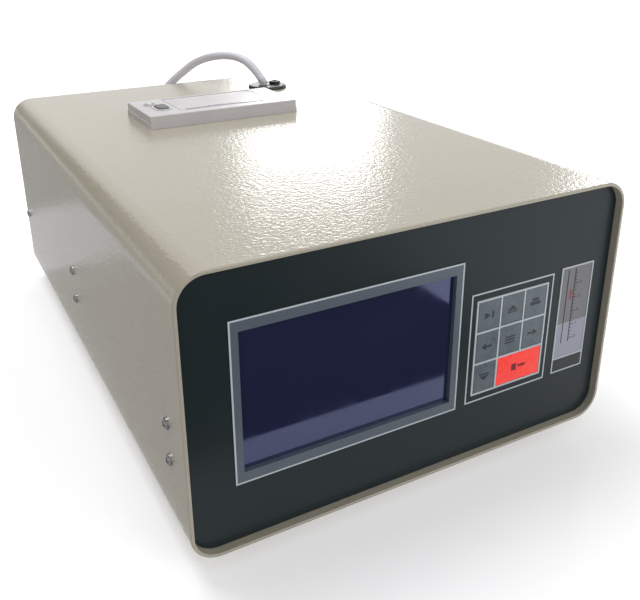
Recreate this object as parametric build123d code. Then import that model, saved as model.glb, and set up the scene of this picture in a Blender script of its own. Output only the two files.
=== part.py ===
from build123d import *
import os
from math import radians, tan

# Airborne particle counter: a bench instrument in a folded steel sleeve.
# Millimetres. Z is up, X runs left to right, and the front panel looks along -Y.
# The origin lies under the middle of the case, on the surface that its feet stand on.

# Case
case_width = 240.0
case_height = 137.5
case_depth = 366.0
case_corner = 14.0  # outside radius of the folded corners
case_sheet = 1.8
rim_round_outside = 0.7  # on the sleeve's front and rear edges
rim_round_inside = 0.4
foot_height = 8.0
foot_diameter = 20.0
foot_inset_x = 30.0  # from the case's side to the middle of a foot
foot_inset_y = 45.0
foot_bolt = 4.0

# Side screws, as distances from the case's front and bottom
side_screw = 3.0
side_screw_head = 5.6
side_screw_head_height = 1.8
front_screw_from_front = 20.4
middle_screw_from_front = 197.5
rear_screw_from_rear = 10.5
front_screw_heights = (42.9, 61.6)
middle_screw_heights = (44.0, 63.0)
rear_screw_heights = (50.0,)

# Front panel
front_recess = 4.0  # from the sleeve's rim back to the overlay
overlay_film = 0.4
panel_sheet = 2.0
panel_gap = 0.3  # round each panel, inside the sleeve
flange_sheet = 1.5
flange_reach = 24.0
flange_height = 96.0
stud_diameter = 4.0
panel_fold = 4.0  # corner radius of a flange's free edge
left_share = 0.4285  # of the width that the three windows leave, to the left of the display
lcd_gap_share = 0.1886  # the same, between the display and the keypad
meter_gap_share = 0.1706  # the same, between the keypad and the flow meter

# Display
lcd_height = 71.6  # middle of the window above the case's bottom
lcd_window_width = 110.3
lcd_window_height = 68.8
lcd_border_side = 4.25
lcd_border_end = 5.65
lcd_lip_proud = 0.4
lcd_neck_inset = 1.6
lcd_neck_depth = 9.0
lcd_rebate = 1.5
lcd_rebate_start = 2.0
lcd_cover_sheet = 1.5
lcd_glass_sheet = 2.2
lcd_board_margin_x = 2.5  # of the board outside the bezel's neck
lcd_board_margin_z = 7.0
board_sheet = 1.6
layer_gap = 0.1  # round each sheet in the bezel's rebate
stud_inset = 1.2  # from a stud's edge to its board's edge
driver_count = 4
driver_chip = 14.0
driver_chip_height = 2.0
driver_pitch = 24.0
header_width = 50.0
header_height = 5.0
header_depth = 6.0
header_drop = 36.0  # of the pin header below the display's middle

# Keypad
keypad_height = 62.5
key_pitch_x = 14.92
key_pitch_z = 17.34
grid_bar = 1.0
key_clearance = 0.2
key_travel = 0.5
key_proud = 0.2
grid_proud = 0.3
grid_lip = 2.0
key_flange = 0.3
key_flange_sheet = 0.6
key_boss = 5.0
key_boss_height = 0.8
dome_diameter = 8.0
dome_height = 0.5
mat_sheet = 0.8
keypad_board_margin_x = 3.0  # of the board outside the grid
keypad_board_margin_z = 7.5
keypad_stud_inset = 0.6
mat_margin = 1.0
dome_taper = 40.0  # degrees

# Flow meter
meter_height = 63.65
meter_face_width = 21.9
meter_face_height = 61.7
meter_line = 0.8
meter_label = 7.2
meter_frame_sheet = 0.3
meter_block_width = 24.0
meter_block_depth = 17.0
meter_block_height = 66.0
meter_block_edge = 1.0
meter_bore_offset = -3.3
meter_bore_low = 5.2
meter_bore_high = 6.8
meter_bore_length = 46.0
meter_channel = 3.0
float_diameter = 4.8
float_length = 8.0
float_seat_gap = 0.3
float_tip = 1.2
float_waist_share = 0.8  # of the float's diameter, below its head
float_cone_share = 0.45  # of the float's length
float_head_share = 0.2
meter_nipple = 5.6
meter_nipple_length = 14.0
scale_sheet = 0.6
nipple_bore = 3.0

# Printer
printer_x = -4.5
printer_from_front = 247.0  # its middle, behind the case's front
printer_width = 105.0
printer_depth = 51.5
printer_height = 8.3
printer_corner = 0.6
printer_edge = 0.35
printer_wall = 2.0
printer_deck = 2.4
printer_step = 0.4
printer_step_height = 3.4
door_width = 65.0
door_depth = 39.0
door_from_front = 9.0  # its front edge, behind the bezel's
door_shift = 4.0  # of the door to the right of the bezel's middle
door_gap = 0.4
door_sheet = 2.0
door_hinge_radius = 1.8
door_edge = 0.5
door_rib_count = 5
door_rib = 1.2
door_rib_low = 4.2  # below the door's top
door_rib_from_front = 12.0
door_rib_from_hinge = 5.0
grip_inset = 20.0  # of the finger groove from each end of the door
grip_from_front = 3.0
grip_width = 2.0
grip_depth = 0.5
hinge_pin = 1.6
hinge_clearance = 0.08
hinge_pin_hold = 3.0
hinge_lug = 4.4
hinge_lug_gap = 0.4
bay_wall = 1.5
bay_depth = 38.0
bay_round = 14.0
bay_step = 3.0  # of the bay beyond each end of the door
door_lap = 1.0  # of the bay beyond the door's front and rear edges
bay_cut_gap = 0.5
feed_key_width = 8.0
feed_key_length = 13.0
feed_key_travel = 0.8
feed_key_proud = 1.2
feed_key_clearance = 0.25
feed_key_round = 0.6
feed_collar = 1.6
feed_collar_proud = 0.5
feed_flange = 1.0
feed_flange_gap = 0.1
feed_key_corner = 3.0
feed_key_from_left = 15.5
feed_key_shift = -3.0  # in front of the bezel's middle
lamp_from_left = 11.0
lamp_shift = 9.5  # behind the bezel's middle
lamp_diameter = 4.0
lamp_ring = 8.6
lamp_ring_proud = 0.6
lamp_ring_recess = 0.4
lamp_lens = 0.9  # height of its lens above the deck
key_board_from_left = 13.0
key_board_width = 14.0
key_board_sheet = 0.9
key_post = 4.0
platen_diameter = 8.0
platen_shaft = 3.0
shaft_clearance = 0.06
mechanism_sheet = 2.0
mechanism_floor = 1.5
mechanism_height = 18.0
mechanism_below_deck = 4.0
head_sheet = 1.2
platen_room = 5.0
platen_end_gap = 0.4

# Sampling inlet and its hose
port_from_right = 52.0
port_from_rear = 54.5
port_flange = 30.0
port_flange_height = 2.4
port_flange_round = 1.4
nipple_shift = -3.0  # of the nipple's hole from the port's middle
plug_shift = 6.6  # of the spare hole from the port's middle
port_thread = 22.0
port_thread_length = 14.0
port_bore = 4.0
port_plug_diameter = 8.6
port_plug_height = 2.2
port_plug_depth = 6.0
port_plug_round = 0.6
port_plug_floor = 0.6
port_plug_socket = 2.3
port_nut = 5.0
port_nut_radius = 16.5
hose_diameter = 6.5
hose_bore = 4.0
nipple_diameter = 6.2
nipple_collar = 7.8
nipple_collar_height = 0.4
nipple_bore_top = 2.0
nipple_thread = 5.0
nipple_knee = 3.9  # of the bend above the case
nipple_reach = (-0.4, 1.6, 1.45)  # from the bend to the mouth that meets the hose
hose_bend_share = 0.45  # of the shorter run that an arc's tangent takes

# Rear panel
rear_recess = 15.0
rear_sheet = 1.5
rear_flange_reach = 13.0
vent_width = 3.0
vent_length = 26.0
vent_pitch = 7.0
vent_count = 9
vent_from_left = 58.0
vent_height = 100.0
elbow_x = -16.0
elbow_height = 78.0
elbow_standoff = 28.0  # of its bend from the rear panel
elbow_body = 11.0
elbow_reach = (3.3, 0.0, 15.6)  # from the bend to the mouth that meets the hose
elbow_hexagon = 8.5
elbow_hexagon_height = 6.0
elbow_thread = 8.0
elbow_thread_length = 9.0
inlet_from_right = 36.0
inlet_height = 34.0
inlet_flange_width = 50.0
inlet_flange_height = 23.0
inlet_flange_sheet = 3.0
inlet_border = 3.0
inlet_ear_height = 12.0
inlet_corner = 1.5
inlet_key = 4.0
inlet_floor = 3.0
inlet_screw_length = 7.0
inlet_body_width = 27.6
inlet_body_height = 19.8
inlet_wall = 1.6
inlet_cavity_depth = 16.0
inlet_screw_pitch = 40.0
pin_section = (2.0, 4.0)
pin_pitch = 7.0
pin_rise = 2.0
pin_length = 16.0
pin_tag = 7.0
fitting_gap = 0.4
rocker_from_inlet = 42.0
rocker_width = 12.0
rocker_length = 18.0
rocker_frame_border = 2.5
rocker_frame_corner = 1.5
rocker_frame_sheet = 2.0
rocker_wall = 1.2
rocker_clearance = 0.3
rocker_end_gap = 0.9
rocker_pivot_depth = 2.0
rocker_heel = 2.5
rocker_heel_width = 6.4
rocker_side = 2.0
rocker_crest = 4.6
rocker_draft = 0.6
pivot_diameter = 1.8
pivot_reach = 0.7
switch_depth = 16.0
switch_tag = (0.8, 6.0)
switch_tag_spread = 3.5
switch_tag_length = 8.0
rocker_throw = 12.0  # degrees each side of level
fuse_from_rocker = 28.0
fuse_cap = 14.0
fuse_cap_height = 5.0
fuse_cap_round = 1.0
fuse_body = 11.6
fuse_body_depth = 26.0
fuse_slot = (8.0, 1.2, 1.2)
serial_x = -34.0
serial_width = 31.0
serial_height = 12.5
serial_corner = 1.0
serial_plate = 0.8
serial_shell_width = 17.0
serial_shell_height = 8.4
serial_shell_angle = 80.0
serial_shell_depth = 6.0
serial_body_width = 20.0
serial_body_height = 9.0
serial_body_depth = 9.0
serial_row = 1.4
serial_pitch = 2.76
serial_hole = 1.1
jack_post = 2.9
jack_spread = 12.5
jack_height = 5.0
exhaust_from_left = 32.0
exhaust_height = 72.0
exhaust_barb = 8.0
exhaust_barb_length = 13.0
exhaust_bore = 5.0
exhaust_thread = 10.0
exhaust_thread_length = 6.0
exhaust_hexagon = 7.5
exhaust_hexagon_height = 3.0

# Inside
tray_sheet = 1.5
tray_flange = 66.0
tray_from_front = 36.0
tray_from_rear = 20.0
standoff_diameter = 6.0
standoff_height = 8.0
standoff_inset = 4.0
foot_bush = 8.0
foot_bush_height = 1.5
main_board_width = 130.0
main_board_length = 110.0
board_from_tray_side = 10.0
board_from_tray_front = 6.0
chip_count = 5
chip_width = 14.0
chip_length = 14.0
chip_height = 2.4
chip_pitch = 22.0
chip_inset_x = 14.0
chip_inset_y = 14.0
sink_fins = 6
sink_fin = 2.0
sink_pitch = 5.0
sink_width = 48.0
sink_height = 14.0
sink_inset_x = 12.0
sink_inset_y = 40.0
connector_width = 8.0
connector_length = 60.0
connector_height = 9.0
connector_inset = 6.0
supply_width = 62.0
supply_length = 84.0
supply_gap = 4.0  # between the supply's board and the cradle behind it
transformer_size = (28.0, 26.0, 24.0)
transformer_inset = (18.0, 30.0)
big_capacitor = (18.0, 26.0)  # diameter and height
big_capacitor_inset = (20.0, 15.0)
small_capacitor = (12.0, 20.0)
small_capacitor_inset = (44.0, 18.0)  # from the board's left and rear edges
supply_sink = (3.0, 22.0)  # sheet and height
supply_sink_inset = (5.0, 8.0)
sensor_width = 58.0
sensor_depth = 54.0
sensor_height = 46.0
sensor_edge = 2.0
sensor_neck = 9.0
sensor_neck_height = 6.0
sensor_floor = 6.0
beam_height = 25.3  # above the tray
beam_bore = 12.0
tube_wall = 1.5
detector_width = 44.0
detector_height = 34.0
can_width = 24.0
can_height = 20.0
can_depth = 7.0
can_corner = 2.0
laser_diameter = 16.0
laser_length = 38.0
laser_flange = 24.0
laser_flange_sheet = 3.0
laser_groove_count = 5
laser_groove = 1.6
laser_groove_depth = 1.5
laser_groove_pitch = 4.0
laser_groove_start = 10.0
trap_diameter = 18.0
trap_length = 22.0
trap_round = 4.0
pump_head = 44.0
pump_motor = 36.0
pump_motor_length = 48.0
pump_head_length = 34.0
pump_head_corner = 5.0
pump_from_right = 44.0
pump_from_tray_front = 70.0
pump_foot = (52.0, 3.0)  # width and sheet
pump_nipple = 6.0
pump_nipple_length = 10.0
pump_nipple_spread = 11.0
pump_nipple_rise = 8.0
pump_cradle = (6.0, 24.0)  # width and length of each side of the motor's cradle
pump_cradle_spread = 12.0
pump_cradle_start = 46.0
capsule_diameter = 38.0
capsule_barrel = 36.0
capsule_cone = 8.0
capsule_port = 7.0
capsule_port_length = 8.0
cradle_width = 28.0
cradle_length = 12.0
cradle_from_rear = 16.0
sensor_shift = -12.5  # of the sensing block from the port
sensor_from_port = -16.0

# The hose's route: out of the inlet's nipple, over the rear edge and down into the rear elbow
hose_points = [
    (64.6, 130.1, 150.85),
    (61.7, 141.7, 161.3625),
    (54.6, 156.2, 167.6),
    (42.4, 170.9, 167.3),
    (29.5, 183.2, 162.0),
    (18.8, 191.5, 151.9),
    (7.0, 196.3, 141.4),
    (-3.1, 196.9, 128.6),
    (-9.895, 196.0, 114.86),
    (-12.7, 196.0, 101.6),
]

# Levels and faces that follow from the sizes above
case_low = foot_height
case_high = case_low + case_height
case_middle = case_low + case_height / 2
case_front = -case_depth / 2
case_rear = case_depth / 2
inner_width = case_width - 2 * case_sheet
inner_height = case_height - 2 * case_sheet
inner_corner = case_corner - case_sheet
overlay_face = case_front + front_recess
panel_face = overlay_face + overlay_film
panel_back = panel_face + panel_sheet
panel_width = inner_width - 2 * panel_gap
panel_height = inner_height - 2 * panel_gap
panel_corner = inner_corner - panel_gap
lcd_outline_width = lcd_window_width + 2 * lcd_border_side
lcd_outline_height = lcd_window_height + 2 * lcd_border_end
grid_width = 3 * key_pitch_x + grid_bar
grid_height = 3 * key_pitch_z + grid_bar
panel_spare = inner_width - lcd_outline_width - grid_width - meter_face_width
lcd_x = -inner_width / 2 + left_share * panel_spare + lcd_outline_width / 2
keypad_x = lcd_x + lcd_outline_width / 2 + lcd_gap_share * panel_spare + grid_width / 2
meter_x = keypad_x + grid_width / 2 + meter_gap_share * panel_spare + meter_face_width / 2
lcd_z = case_low + lcd_height
keypad_z = case_low + keypad_height
meter_z = case_low + meter_height
printer_y = case_front + printer_from_front
printer_top = case_high + printer_height
port_x = case_width / 2 - port_from_right
port_y = case_rear - port_from_rear
nipple_x = port_x + nipple_shift
plug_x = port_x + plug_shift
rear_face = case_rear - rear_recess
elbow_y = rear_face + elbow_standoff
socket_z = case_low + inlet_height
inlet_x = case_width / 2 - inlet_from_right
rocker_x = inlet_x - rocker_from_inlet
fuse_x = rocker_x - fuse_from_rocker
vent_x = -case_width / 2 + vent_from_left
exhaust_x = -case_width / 2 + exhaust_from_left
exhaust_z = case_low + exhaust_height
tray_low = case_low + case_sheet + panel_gap
tray_top = tray_low + tray_sheet
foot_x = case_width / 2 - foot_inset_x
foot_y = case_depth / 2 - foot_inset_y
foot_places = [(sx * foot_x, sy * foot_y) for sx in (-1, 1) for sy in (-1, 1)]


def block(x, y, z):
    """A box from its low and high limits along each axis."""
    size = [high - low for low, high in (x, y, z)]
    middle = [(high + low) / 2 for low, high in (x, y, z)]
    return Pos(*middle) * Box(*size)


def slab(profile, x, z, y, depth):
    """A profile drawn in X and Z about (x, z), from y backwards by depth."""
    return extrude(Plane.XZ.offset(-y) * Pos(x, z) * profile, -depth)


def upright(profile, x, y, z, height):
    """A profile drawn in X and Y about (x, y), from z upwards by height."""
    return extrude(Pos(x, y, z) * profile, height)


def rod(diameter, start, axis, length):
    """A round bar from a point along an axis given as a direction."""
    return extrude(Plane(origin=start, z_dir=axis) * Circle(diameter / 2), length)


def ring(outer, inner, x, z, y, depth):
    """A flat rectangular frame between two (width, height) pairs."""
    return slab(Rectangle(*outer) - Rectangle(*inner), x, z, y, depth)


def pan_screw(shank, head, head_height, length):
    """A cross-headed screw along +Z: its head stands on z 0 and its shank hangs below."""
    dome = Plane.XZ * make_face(
        Polyline((0, 0), (head / 2, 0), (head / 2, head_height * 0.45))
        + ThreePointArc(
            (head / 2, head_height * 0.45),
            (head * 0.33, head_height * 0.86),
            (0, head_height),
        )
        + Line((0, head_height), (0, 0))
    )
    screw = revolve(dome, Axis.Z) + Pos(0, 0, -length / 2) * Cylinder(shank / 2, length)
    cross = Box(head * 0.6, head * 0.13, head_height) + Box(head * 0.13, head * 0.6, head_height)
    return screw - Pos(0, 0, head_height * 0.95) * cross


def side_screw_places():
    """The (y, z) of each screw on one side of the case."""
    rows = (
        (case_front + front_screw_from_front, front_screw_heights),
        (case_front + middle_screw_from_front, middle_screw_heights),
        (case_rear - rear_screw_from_rear, rear_screw_heights),
    )
    return [(y, case_low + height) for y, heights in rows for height in heights]


def cross_holes(shape, diameter, places):
    """Drills the given (y, z) places through both sides along X."""
    for y, z in places:
        shape -= rod(diameter, (-case_width, y, z), (1, 0, 0), 2 * case_width)
    return shape


# Case


def outer_sleeve():
    """The folded wrap-round cover: open in front and behind, cut out for the printer and port."""
    wall = RectangleRounded(case_width, case_height, case_corner)
    wall -= RectangleRounded(inner_width, inner_height, inner_corner)
    sleeve = slab(wall, 0, case_middle, case_front, case_depth)
    for end in (0, -1):
        rim = sleeve.faces().sort_by(Axis.Y)[end]
        sleeve = fillet(rim.outer_wire().edges(), rim_round_outside)
        rim = sleeve.faces().sort_by(Axis.Y)[end]
        sleeve = fillet(rim.inner_wires()[0].edges(), rim_round_inside)
    sleeve = cross_holes(sleeve, side_screw + 0.4, side_screw_places())
    for x, y in foot_places:
        sleeve -= rod(foot_bolt + 0.4, (x, y, 0), (0, 0, 1), case_middle)
    bay_x, bay_y, _ = bay_limits()
    sleeve -= block(
        [bay_x[0] - bay_cut_gap, bay_x[1] + bay_cut_gap],
        [bay_y[0] - bay_cut_gap, bay_y[1] + bay_cut_gap],
        [case_middle, case_high + 1],
    )
    feed_x, feed_y = feed_key_place()
    sleeve -= rod(feed_key_width, (feed_x, feed_y, case_middle), (0, 0, 1), case_height)
    sleeve -= rod(port_thread + 0.4, (port_x, port_y, case_middle), (0, 0, 1), case_height)
    return sleeve


def foot():
    """A turned rubber foot: wider where it meets the case, hollowed for its bolt's head."""
    low = foot_diameter / 2 - 2
    outline = Polyline(
        (foot_bolt / 2 + 0.1, foot_height / 2),
        (foot_bolt / 2 + 0.1, foot_height),
        (foot_diameter / 2, foot_height),
        (low, 0.6),
        (low - 0.6, 0),
        (foot_bolt + 1, 0),
        (foot_bolt + 1, foot_height / 2),
        close=True,
    )
    return revolve(Plane.XZ * make_face(outline), Axis.Z)


def feet():
    return [Pos(x, y, 0) * foot() for x, y in foot_places]


def foot_screws():
    length = tray_top - foot_height / 2 + 1.5
    screw = pan_screw(foot_bolt, foot_bolt * 1.9, 2.4, length)
    return [Pos(x, y, foot_height / 2) * Rot(180, 0, 0) * screw for x, y in foot_places]


def side_screws():
    screw = pan_screw(side_screw, side_screw_head, side_screw_head_height, case_sheet + 3.5)
    screws = []
    for side in (-1, 1):
        for y, z in side_screw_places():
            screws.append(Pos(side * case_width / 2, y, z) * Rot(0, side * 90, 0) * screw)
    return screws


# Front panel


def lcd_outline():
    return lcd_outline_width, lcd_outline_height


def lcd_neck():
    width, height = lcd_outline()
    return width - 2 * lcd_neck_inset, height - 2 * lcd_neck_inset


def lcd_board_size():
    width, height = lcd_neck()
    return width + 2 * lcd_board_margin_x, height + 2 * lcd_board_margin_z


def lcd_stud_places():
    width, height = lcd_board_size()
    inset = stud_diameter / 2 + stud_inset
    right = width / 2 - inset
    up = height / 2 - inset
    return [(lcd_x + sx * right, lcd_z + sz * up) for sx in (-1, 1) for sz in (-1, 1)]


def keypad_stud_places():
    inset = stud_diameter / 2 + keypad_stud_inset
    right = grid_width / 2 + keypad_board_margin_x - inset
    up = grid_height / 2 + keypad_board_margin_z - inset
    return [(keypad_x + sx * right, keypad_z + sz * up) for sx in (-1, 1) for sz in (-1, 1)]


def meter_window():
    """Width, height and middle height of the clear part of the flow meter's face."""
    width = meter_face_width - 2 * meter_line
    height = meter_face_height - 3 * meter_line - meter_label
    middle = meter_z + (meter_label + meter_line) / 2
    return width, height, middle


def panel_openings(depth, y):
    """What the display, the keypad and the flow meter need cut through the front panel."""
    neck = [size + 2 * key_clearance for size in lcd_neck()]
    grid = (grid_width + 2 * key_clearance, grid_height + 2 * key_clearance)
    width, height, middle = meter_window()
    window = (width + 2 * key_clearance, height + 2 * key_clearance)
    cuts = slab(Rectangle(*neck), lcd_x, lcd_z, y, depth)
    cuts += slab(Rectangle(*grid), keypad_x, keypad_z, y, depth)
    cuts += slab(Rectangle(*window), meter_x, middle, y, depth)
    return cuts


def front_panel():
    """Folded sheet: a plate with a flange down each side and studs for the boards."""
    outline = RectangleRounded(panel_width, panel_height, panel_corner)
    panel = slab(outline, 0, case_middle, panel_face, panel_sheet)
    half = panel_width / 2
    for side in (-1, 1):
        outer = side * half
        inner = side * (half - flange_sheet)
        flange = block(
            sorted((outer, inner)),
            (panel_face, panel_face + flange_reach),
            (case_middle - flange_height / 2, case_middle + flange_height / 2),
        )
        panel += fillet(flange.edges().filter_by(Axis.X).sort_by(Axis.Y)[-2:], panel_fold)
    panel = cross_holes(panel, side_screw, side_screw_places()[:2])
    panel -= panel_openings(4 * panel_sheet, panel_face - panel_sheet)
    lcd_stud = overlay_face + lcd_neck_depth - panel_back
    keypad_stud = keypad_board_face() - panel_back
    for x, z in lcd_stud_places():
        panel += rod(stud_diameter, (x, panel_back, z), (0, 1, 0), lcd_stud)
    for x, z in keypad_stud_places():
        panel += rod(stud_diameter, (x, panel_back, z), (0, 1, 0), keypad_stud)
    return panel


def front_overlay():
    """The black printed film, cut out for the display, the keys and the flow meter."""
    outline = RectangleRounded(panel_width, panel_height, panel_corner)
    film = slab(outline, 0, case_middle, overlay_face, overlay_film)
    return film - panel_openings(4 * overlay_film, overlay_face - overlay_film)


def lcd_bezel():
    """Moulded frame: a thin lip on the film, a neck through the panel and a rebate for the cover."""
    window = (lcd_window_width, lcd_window_height)
    lip = ring(lcd_outline(), window, lcd_x, lcd_z, overlay_face - lcd_lip_proud, lcd_lip_proud)
    neck = ring(lcd_neck(), window, lcd_x, lcd_z, overlay_face, lcd_neck_depth)
    rebate = [size + 2 * lcd_rebate for size in window]
    start = overlay_face + lcd_rebate_start
    return lip + neck - slab(Rectangle(*rebate), lcd_x, lcd_z, start, lcd_neck_depth)


def lcd_layer(start, depth):
    """A sheet that fills the bezel's rebate."""
    width = lcd_window_width + 2 * (lcd_rebate - layer_gap)
    height = lcd_window_height + 2 * (lcd_rebate - layer_gap)
    return slab(Rectangle(width, height), lcd_x, lcd_z, overlay_face + start, depth)


def lcd_cover():
    return lcd_layer(lcd_rebate_start, lcd_cover_sheet)


def lcd_glass():
    return lcd_layer(lcd_rebate_start + lcd_cover_sheet, lcd_glass_sheet)


def lcd_backlight():
    start = lcd_rebate_start + lcd_cover_sheet + lcd_glass_sheet
    return lcd_layer(start, lcd_neck_depth - start)


def lcd_board():
    """The display's circuit board with its driver chips and pin header."""
    back = overlay_face + lcd_neck_depth
    board = slab(Rectangle(*lcd_board_size()), lcd_x, lcd_z, back, board_sheet)
    for x, z in lcd_stud_places():
        board -= rod(side_screw, (x, back - 1, z), (0, 1, 0), board_sheet + 2)
    chip_y = back + board_sheet
    for step in range(driver_count):
        x = lcd_x + (step - (driver_count - 1) / 2) * driver_pitch
        board += slab(Rectangle(driver_chip, driver_chip), x, lcd_z, chip_y, driver_chip_height)
    header = Rectangle(header_width, header_height)
    return board + slab(header, lcd_x, lcd_z - header_drop, chip_y, header_depth)


def keypad_grid():
    """The white grid round the keys, clipped behind the panel by its lip."""
    width, height = grid_width, grid_height
    bar_back = panel_back + key_clearance
    depth = bar_back - overlay_face + grid_proud
    front = overlay_face - grid_proud
    grid = slab(Rectangle(width, height), keypad_x, keypad_z, front, depth)
    lip_outer = (width + 2 * grid_lip, height + 2 * grid_lip)
    lip_inner = (width - 2 * grid_bar, height - 2 * grid_bar)
    grid += ring(lip_outer, lip_inner, keypad_x, keypad_z, panel_back, 2 * grid_bar)
    for x, z, key_width, key_height in key_places():
        cell = Rectangle(key_width + 2 * key_clearance, key_height + 2 * key_clearance)
        grid -= slab(cell, x, z, front - 1, depth + 2)
    pocket = Rectangle(width - 2 * grid_bar + 4 * key_flange, height - 2 * grid_bar + 4 * key_flange)
    return grid - slab(pocket, keypad_x, keypad_z, bar_back, 4 * grid_bar)


def key_places():
    """Middle, width and height of each key: two rows of three, then one single and one double."""
    width = key_pitch_x - grid_bar - 2 * key_clearance
    height = key_pitch_z - grid_bar - 2 * key_clearance
    places = []
    for row in (1, 0):
        for column in (-1, 0, 1):
            places.append((column * key_pitch_x, row * key_pitch_z, width, height))
    places.append((-key_pitch_x, -key_pitch_z, width, height))
    places.append((key_pitch_x / 2, -key_pitch_z, width + key_pitch_x, height))
    return [(keypad_x + x, keypad_z + z, w, h) for x, z, w, h in places]


def key_back():
    """Face of a key's flange that its grid holds."""
    return panel_back + key_clearance + 0.1


def mat_face():
    return key_back() + key_flange_sheet + key_boss_height + key_travel + 0.1


def keypad_board_face():
    return mat_face() + dome_height + mat_sheet


def key(x, z, width, height):
    """A key cap with softened front edges, a flange behind the grid and a boss over its dome."""
    front = overlay_face - key_proud
    cap = slab(Rectangle(width, height), x, z, front, key_back() - front)
    cap = fillet(cap.faces().sort_by(Axis.Y)[0].edges(), 0.35)
    rim = Rectangle(width + 2 * key_flange, height + 2 * key_flange)
    cap += slab(rim, x, z, key_back(), key_flange_sheet)
    boss_start = (x, key_back() + key_flange_sheet, z)
    return cap + rod(key_boss, boss_start, (0, 1, 0), key_boss_height)


def keypad_mat():
    """Silicone sheet with one dome under each key."""
    face = mat_face() + dome_height
    outline = Rectangle(grid_width + 2 * mat_margin, grid_height + 2 * mat_margin)
    mat = slab(outline, keypad_x, keypad_z, face, mat_sheet)
    for x, z, _, _ in key_places():
        dome = Plane(origin=(x, face, z), z_dir=(0, -1, 0)) * Circle(dome_diameter / 2)
        mat += extrude(dome, dome_height, taper=dome_taper)
    return mat


def keypad_board():
    face = keypad_board_face()
    outline = Rectangle(
        grid_width + 2 * keypad_board_margin_x, grid_height + 2 * keypad_board_margin_z
    )
    board = slab(outline, keypad_x, keypad_z, face, board_sheet)
    for x, z in keypad_stud_places():
        board -= rod(side_screw, (x, face - 1, z), (0, 1, 0), board_sheet + 2)
    return board


def board_screws():
    """The screws that hold both boards on the panel's studs."""
    screws = []
    screw = Rot(-90, 0, 0) * pan_screw(side_screw, side_screw_head, side_screw_head_height, board_sheet)
    for x, z in lcd_stud_places():
        screws.append(Pos(x, overlay_face + lcd_neck_depth + board_sheet, z) * screw)
    for x, z in keypad_stud_places():
        screws.append(Pos(x, keypad_board_face() + board_sheet, z) * screw)
    return screws


# Flow meter


def meter_bore():
    """Foot, middle line and top of the tapered bore."""
    x = meter_x + meter_bore_offset
    y = panel_back + meter_block_depth / 2
    low = meter_window()[2] - meter_bore_length / 2
    return x, y, low


def meter_body():
    """Clear acrylic block with a tapered bore and a channel behind each end of it."""
    width, height, middle = meter_window()
    outline = Rectangle(meter_block_width, meter_block_height)
    body = slab(outline, meter_x, meter_z, panel_back, meter_block_depth)
    body = chamfer(body.edges().filter_by(Axis.Z), meter_block_edge)
    body += slab(Rectangle(width, height), meter_x, middle, overlay_face, panel_back - overlay_face)
    x, y, low = meter_bore()
    bore = Pos(x, y, low + meter_bore_length / 2) * Cone(
        meter_bore_low / 2, meter_bore_high / 2, meter_bore_length
    )
    body -= bore
    for z in meter_channel_levels():
        body -= rod(meter_channel, (x, y, z), (0, 1, 0), meter_block_depth)
    return body


def meter_channel_levels():
    low = meter_bore()[2]
    return low + meter_channel, low + meter_bore_length - meter_channel


def meter_float():
    """A turned plumb bob with a flat head and a pointed foot."""
    x, y, low = meter_bore()
    radius = float_diameter / 2
    waist = radius * float_waist_share
    head = float_length * (1 - float_head_share)
    base = low + float_seat_gap
    outline = Polyline(
        (0, 0),
        (float_tip / 2, 0),
        (waist, float_length * float_cone_share),
        (waist, head),
        (radius, head + radius - waist),
        (radius, float_length),
        (0, float_length),
        close=True,
    )
    return Pos(x, y, base) * revolve(Plane.XZ * make_face(outline), Axis.Z)


def meter_scale():
    """Pale plate behind the block, drilled for the two nipples."""
    y = panel_back + meter_block_depth
    plate = slab(Rectangle(meter_block_width, meter_block_height), meter_x, meter_z, y, scale_sheet)
    for z in meter_channel_levels():
        plate -= rod(meter_nipple + 0.4, (meter_bore()[0], y - 1, z), (0, 1, 0), scale_sheet + 2)
    return plate


def meter_nipples():
    """Two barbed nipples behind the meter, one to each end of the bore."""
    y = panel_back + meter_block_depth
    return [
        Pos(meter_bore()[0], y, z)
        * Rot(-90, 0, 0)
        * barbed_nipple(meter_nipple, nipple_bore, meter_nipple_length)
        for z in meter_channel_levels()
    ]


def barbed_nipple(diameter, bore, length):
    """A hose nipple along +Z with three barbs on a round collar."""
    radius = diameter / 2
    collar = length * 0.3
    pitch = (length - collar) / 3
    points = [(bore / 2, 0), (radius, 0), (radius, scale_sheet + 0.2)]
    points += [(radius + 1, scale_sheet + 0.2), (radius + 1, collar), (radius * 0.85, collar)]
    for barb in range(3):
        base = collar + barb * pitch
        points += [(radius, base + pitch * 0.3), (radius * 0.82, base + pitch)]
    points.append((bore / 2, length))
    return revolve(Plane.XZ * make_face(Polyline(*points, close=True)), Axis.Z)


def meter_frame():
    """The thin printed-edge bezel on the film: a window and a label strip below it."""
    width, height, middle = meter_window()
    front = overlay_face - meter_frame_sheet
    outline = Rectangle(meter_face_width, meter_face_height)
    frame = slab(outline, meter_x, meter_z, front, meter_frame_sheet)
    return frame - slab(Rectangle(width, height), meter_x, middle, front - 1, 2)


# Printer


def door_limits():
    """X and Y limits of the door."""
    x = printer_x + door_shift
    y = printer_y - printer_depth / 2 + door_from_front
    return (x - door_width / 2, x + door_width / 2), (y, y + door_depth)


def hinge_axis():
    """Y and Z of the door's pin."""
    return door_limits()[1][1] - door_hinge_radius, printer_top - door_hinge_radius


def bay_limits():
    x, y = door_limits()
    return (
        (x[0] - bay_step, x[1] + bay_step),
        (y[0] - door_lap, y[1] + door_lap),
        (case_high - bay_depth, printer_top - printer_deck),
    )


def feed_key_place():
    return printer_x - printer_width / 2 + feed_key_from_left, printer_y + feed_key_shift


def lamp_place():
    return printer_x - printer_width / 2 + lamp_from_left, printer_y + lamp_shift


def printer_outline(inset):
    width = printer_width - 2 * inset
    depth = printer_depth - 2 * inset
    return RectangleRounded(width, depth, printer_corner)


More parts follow.
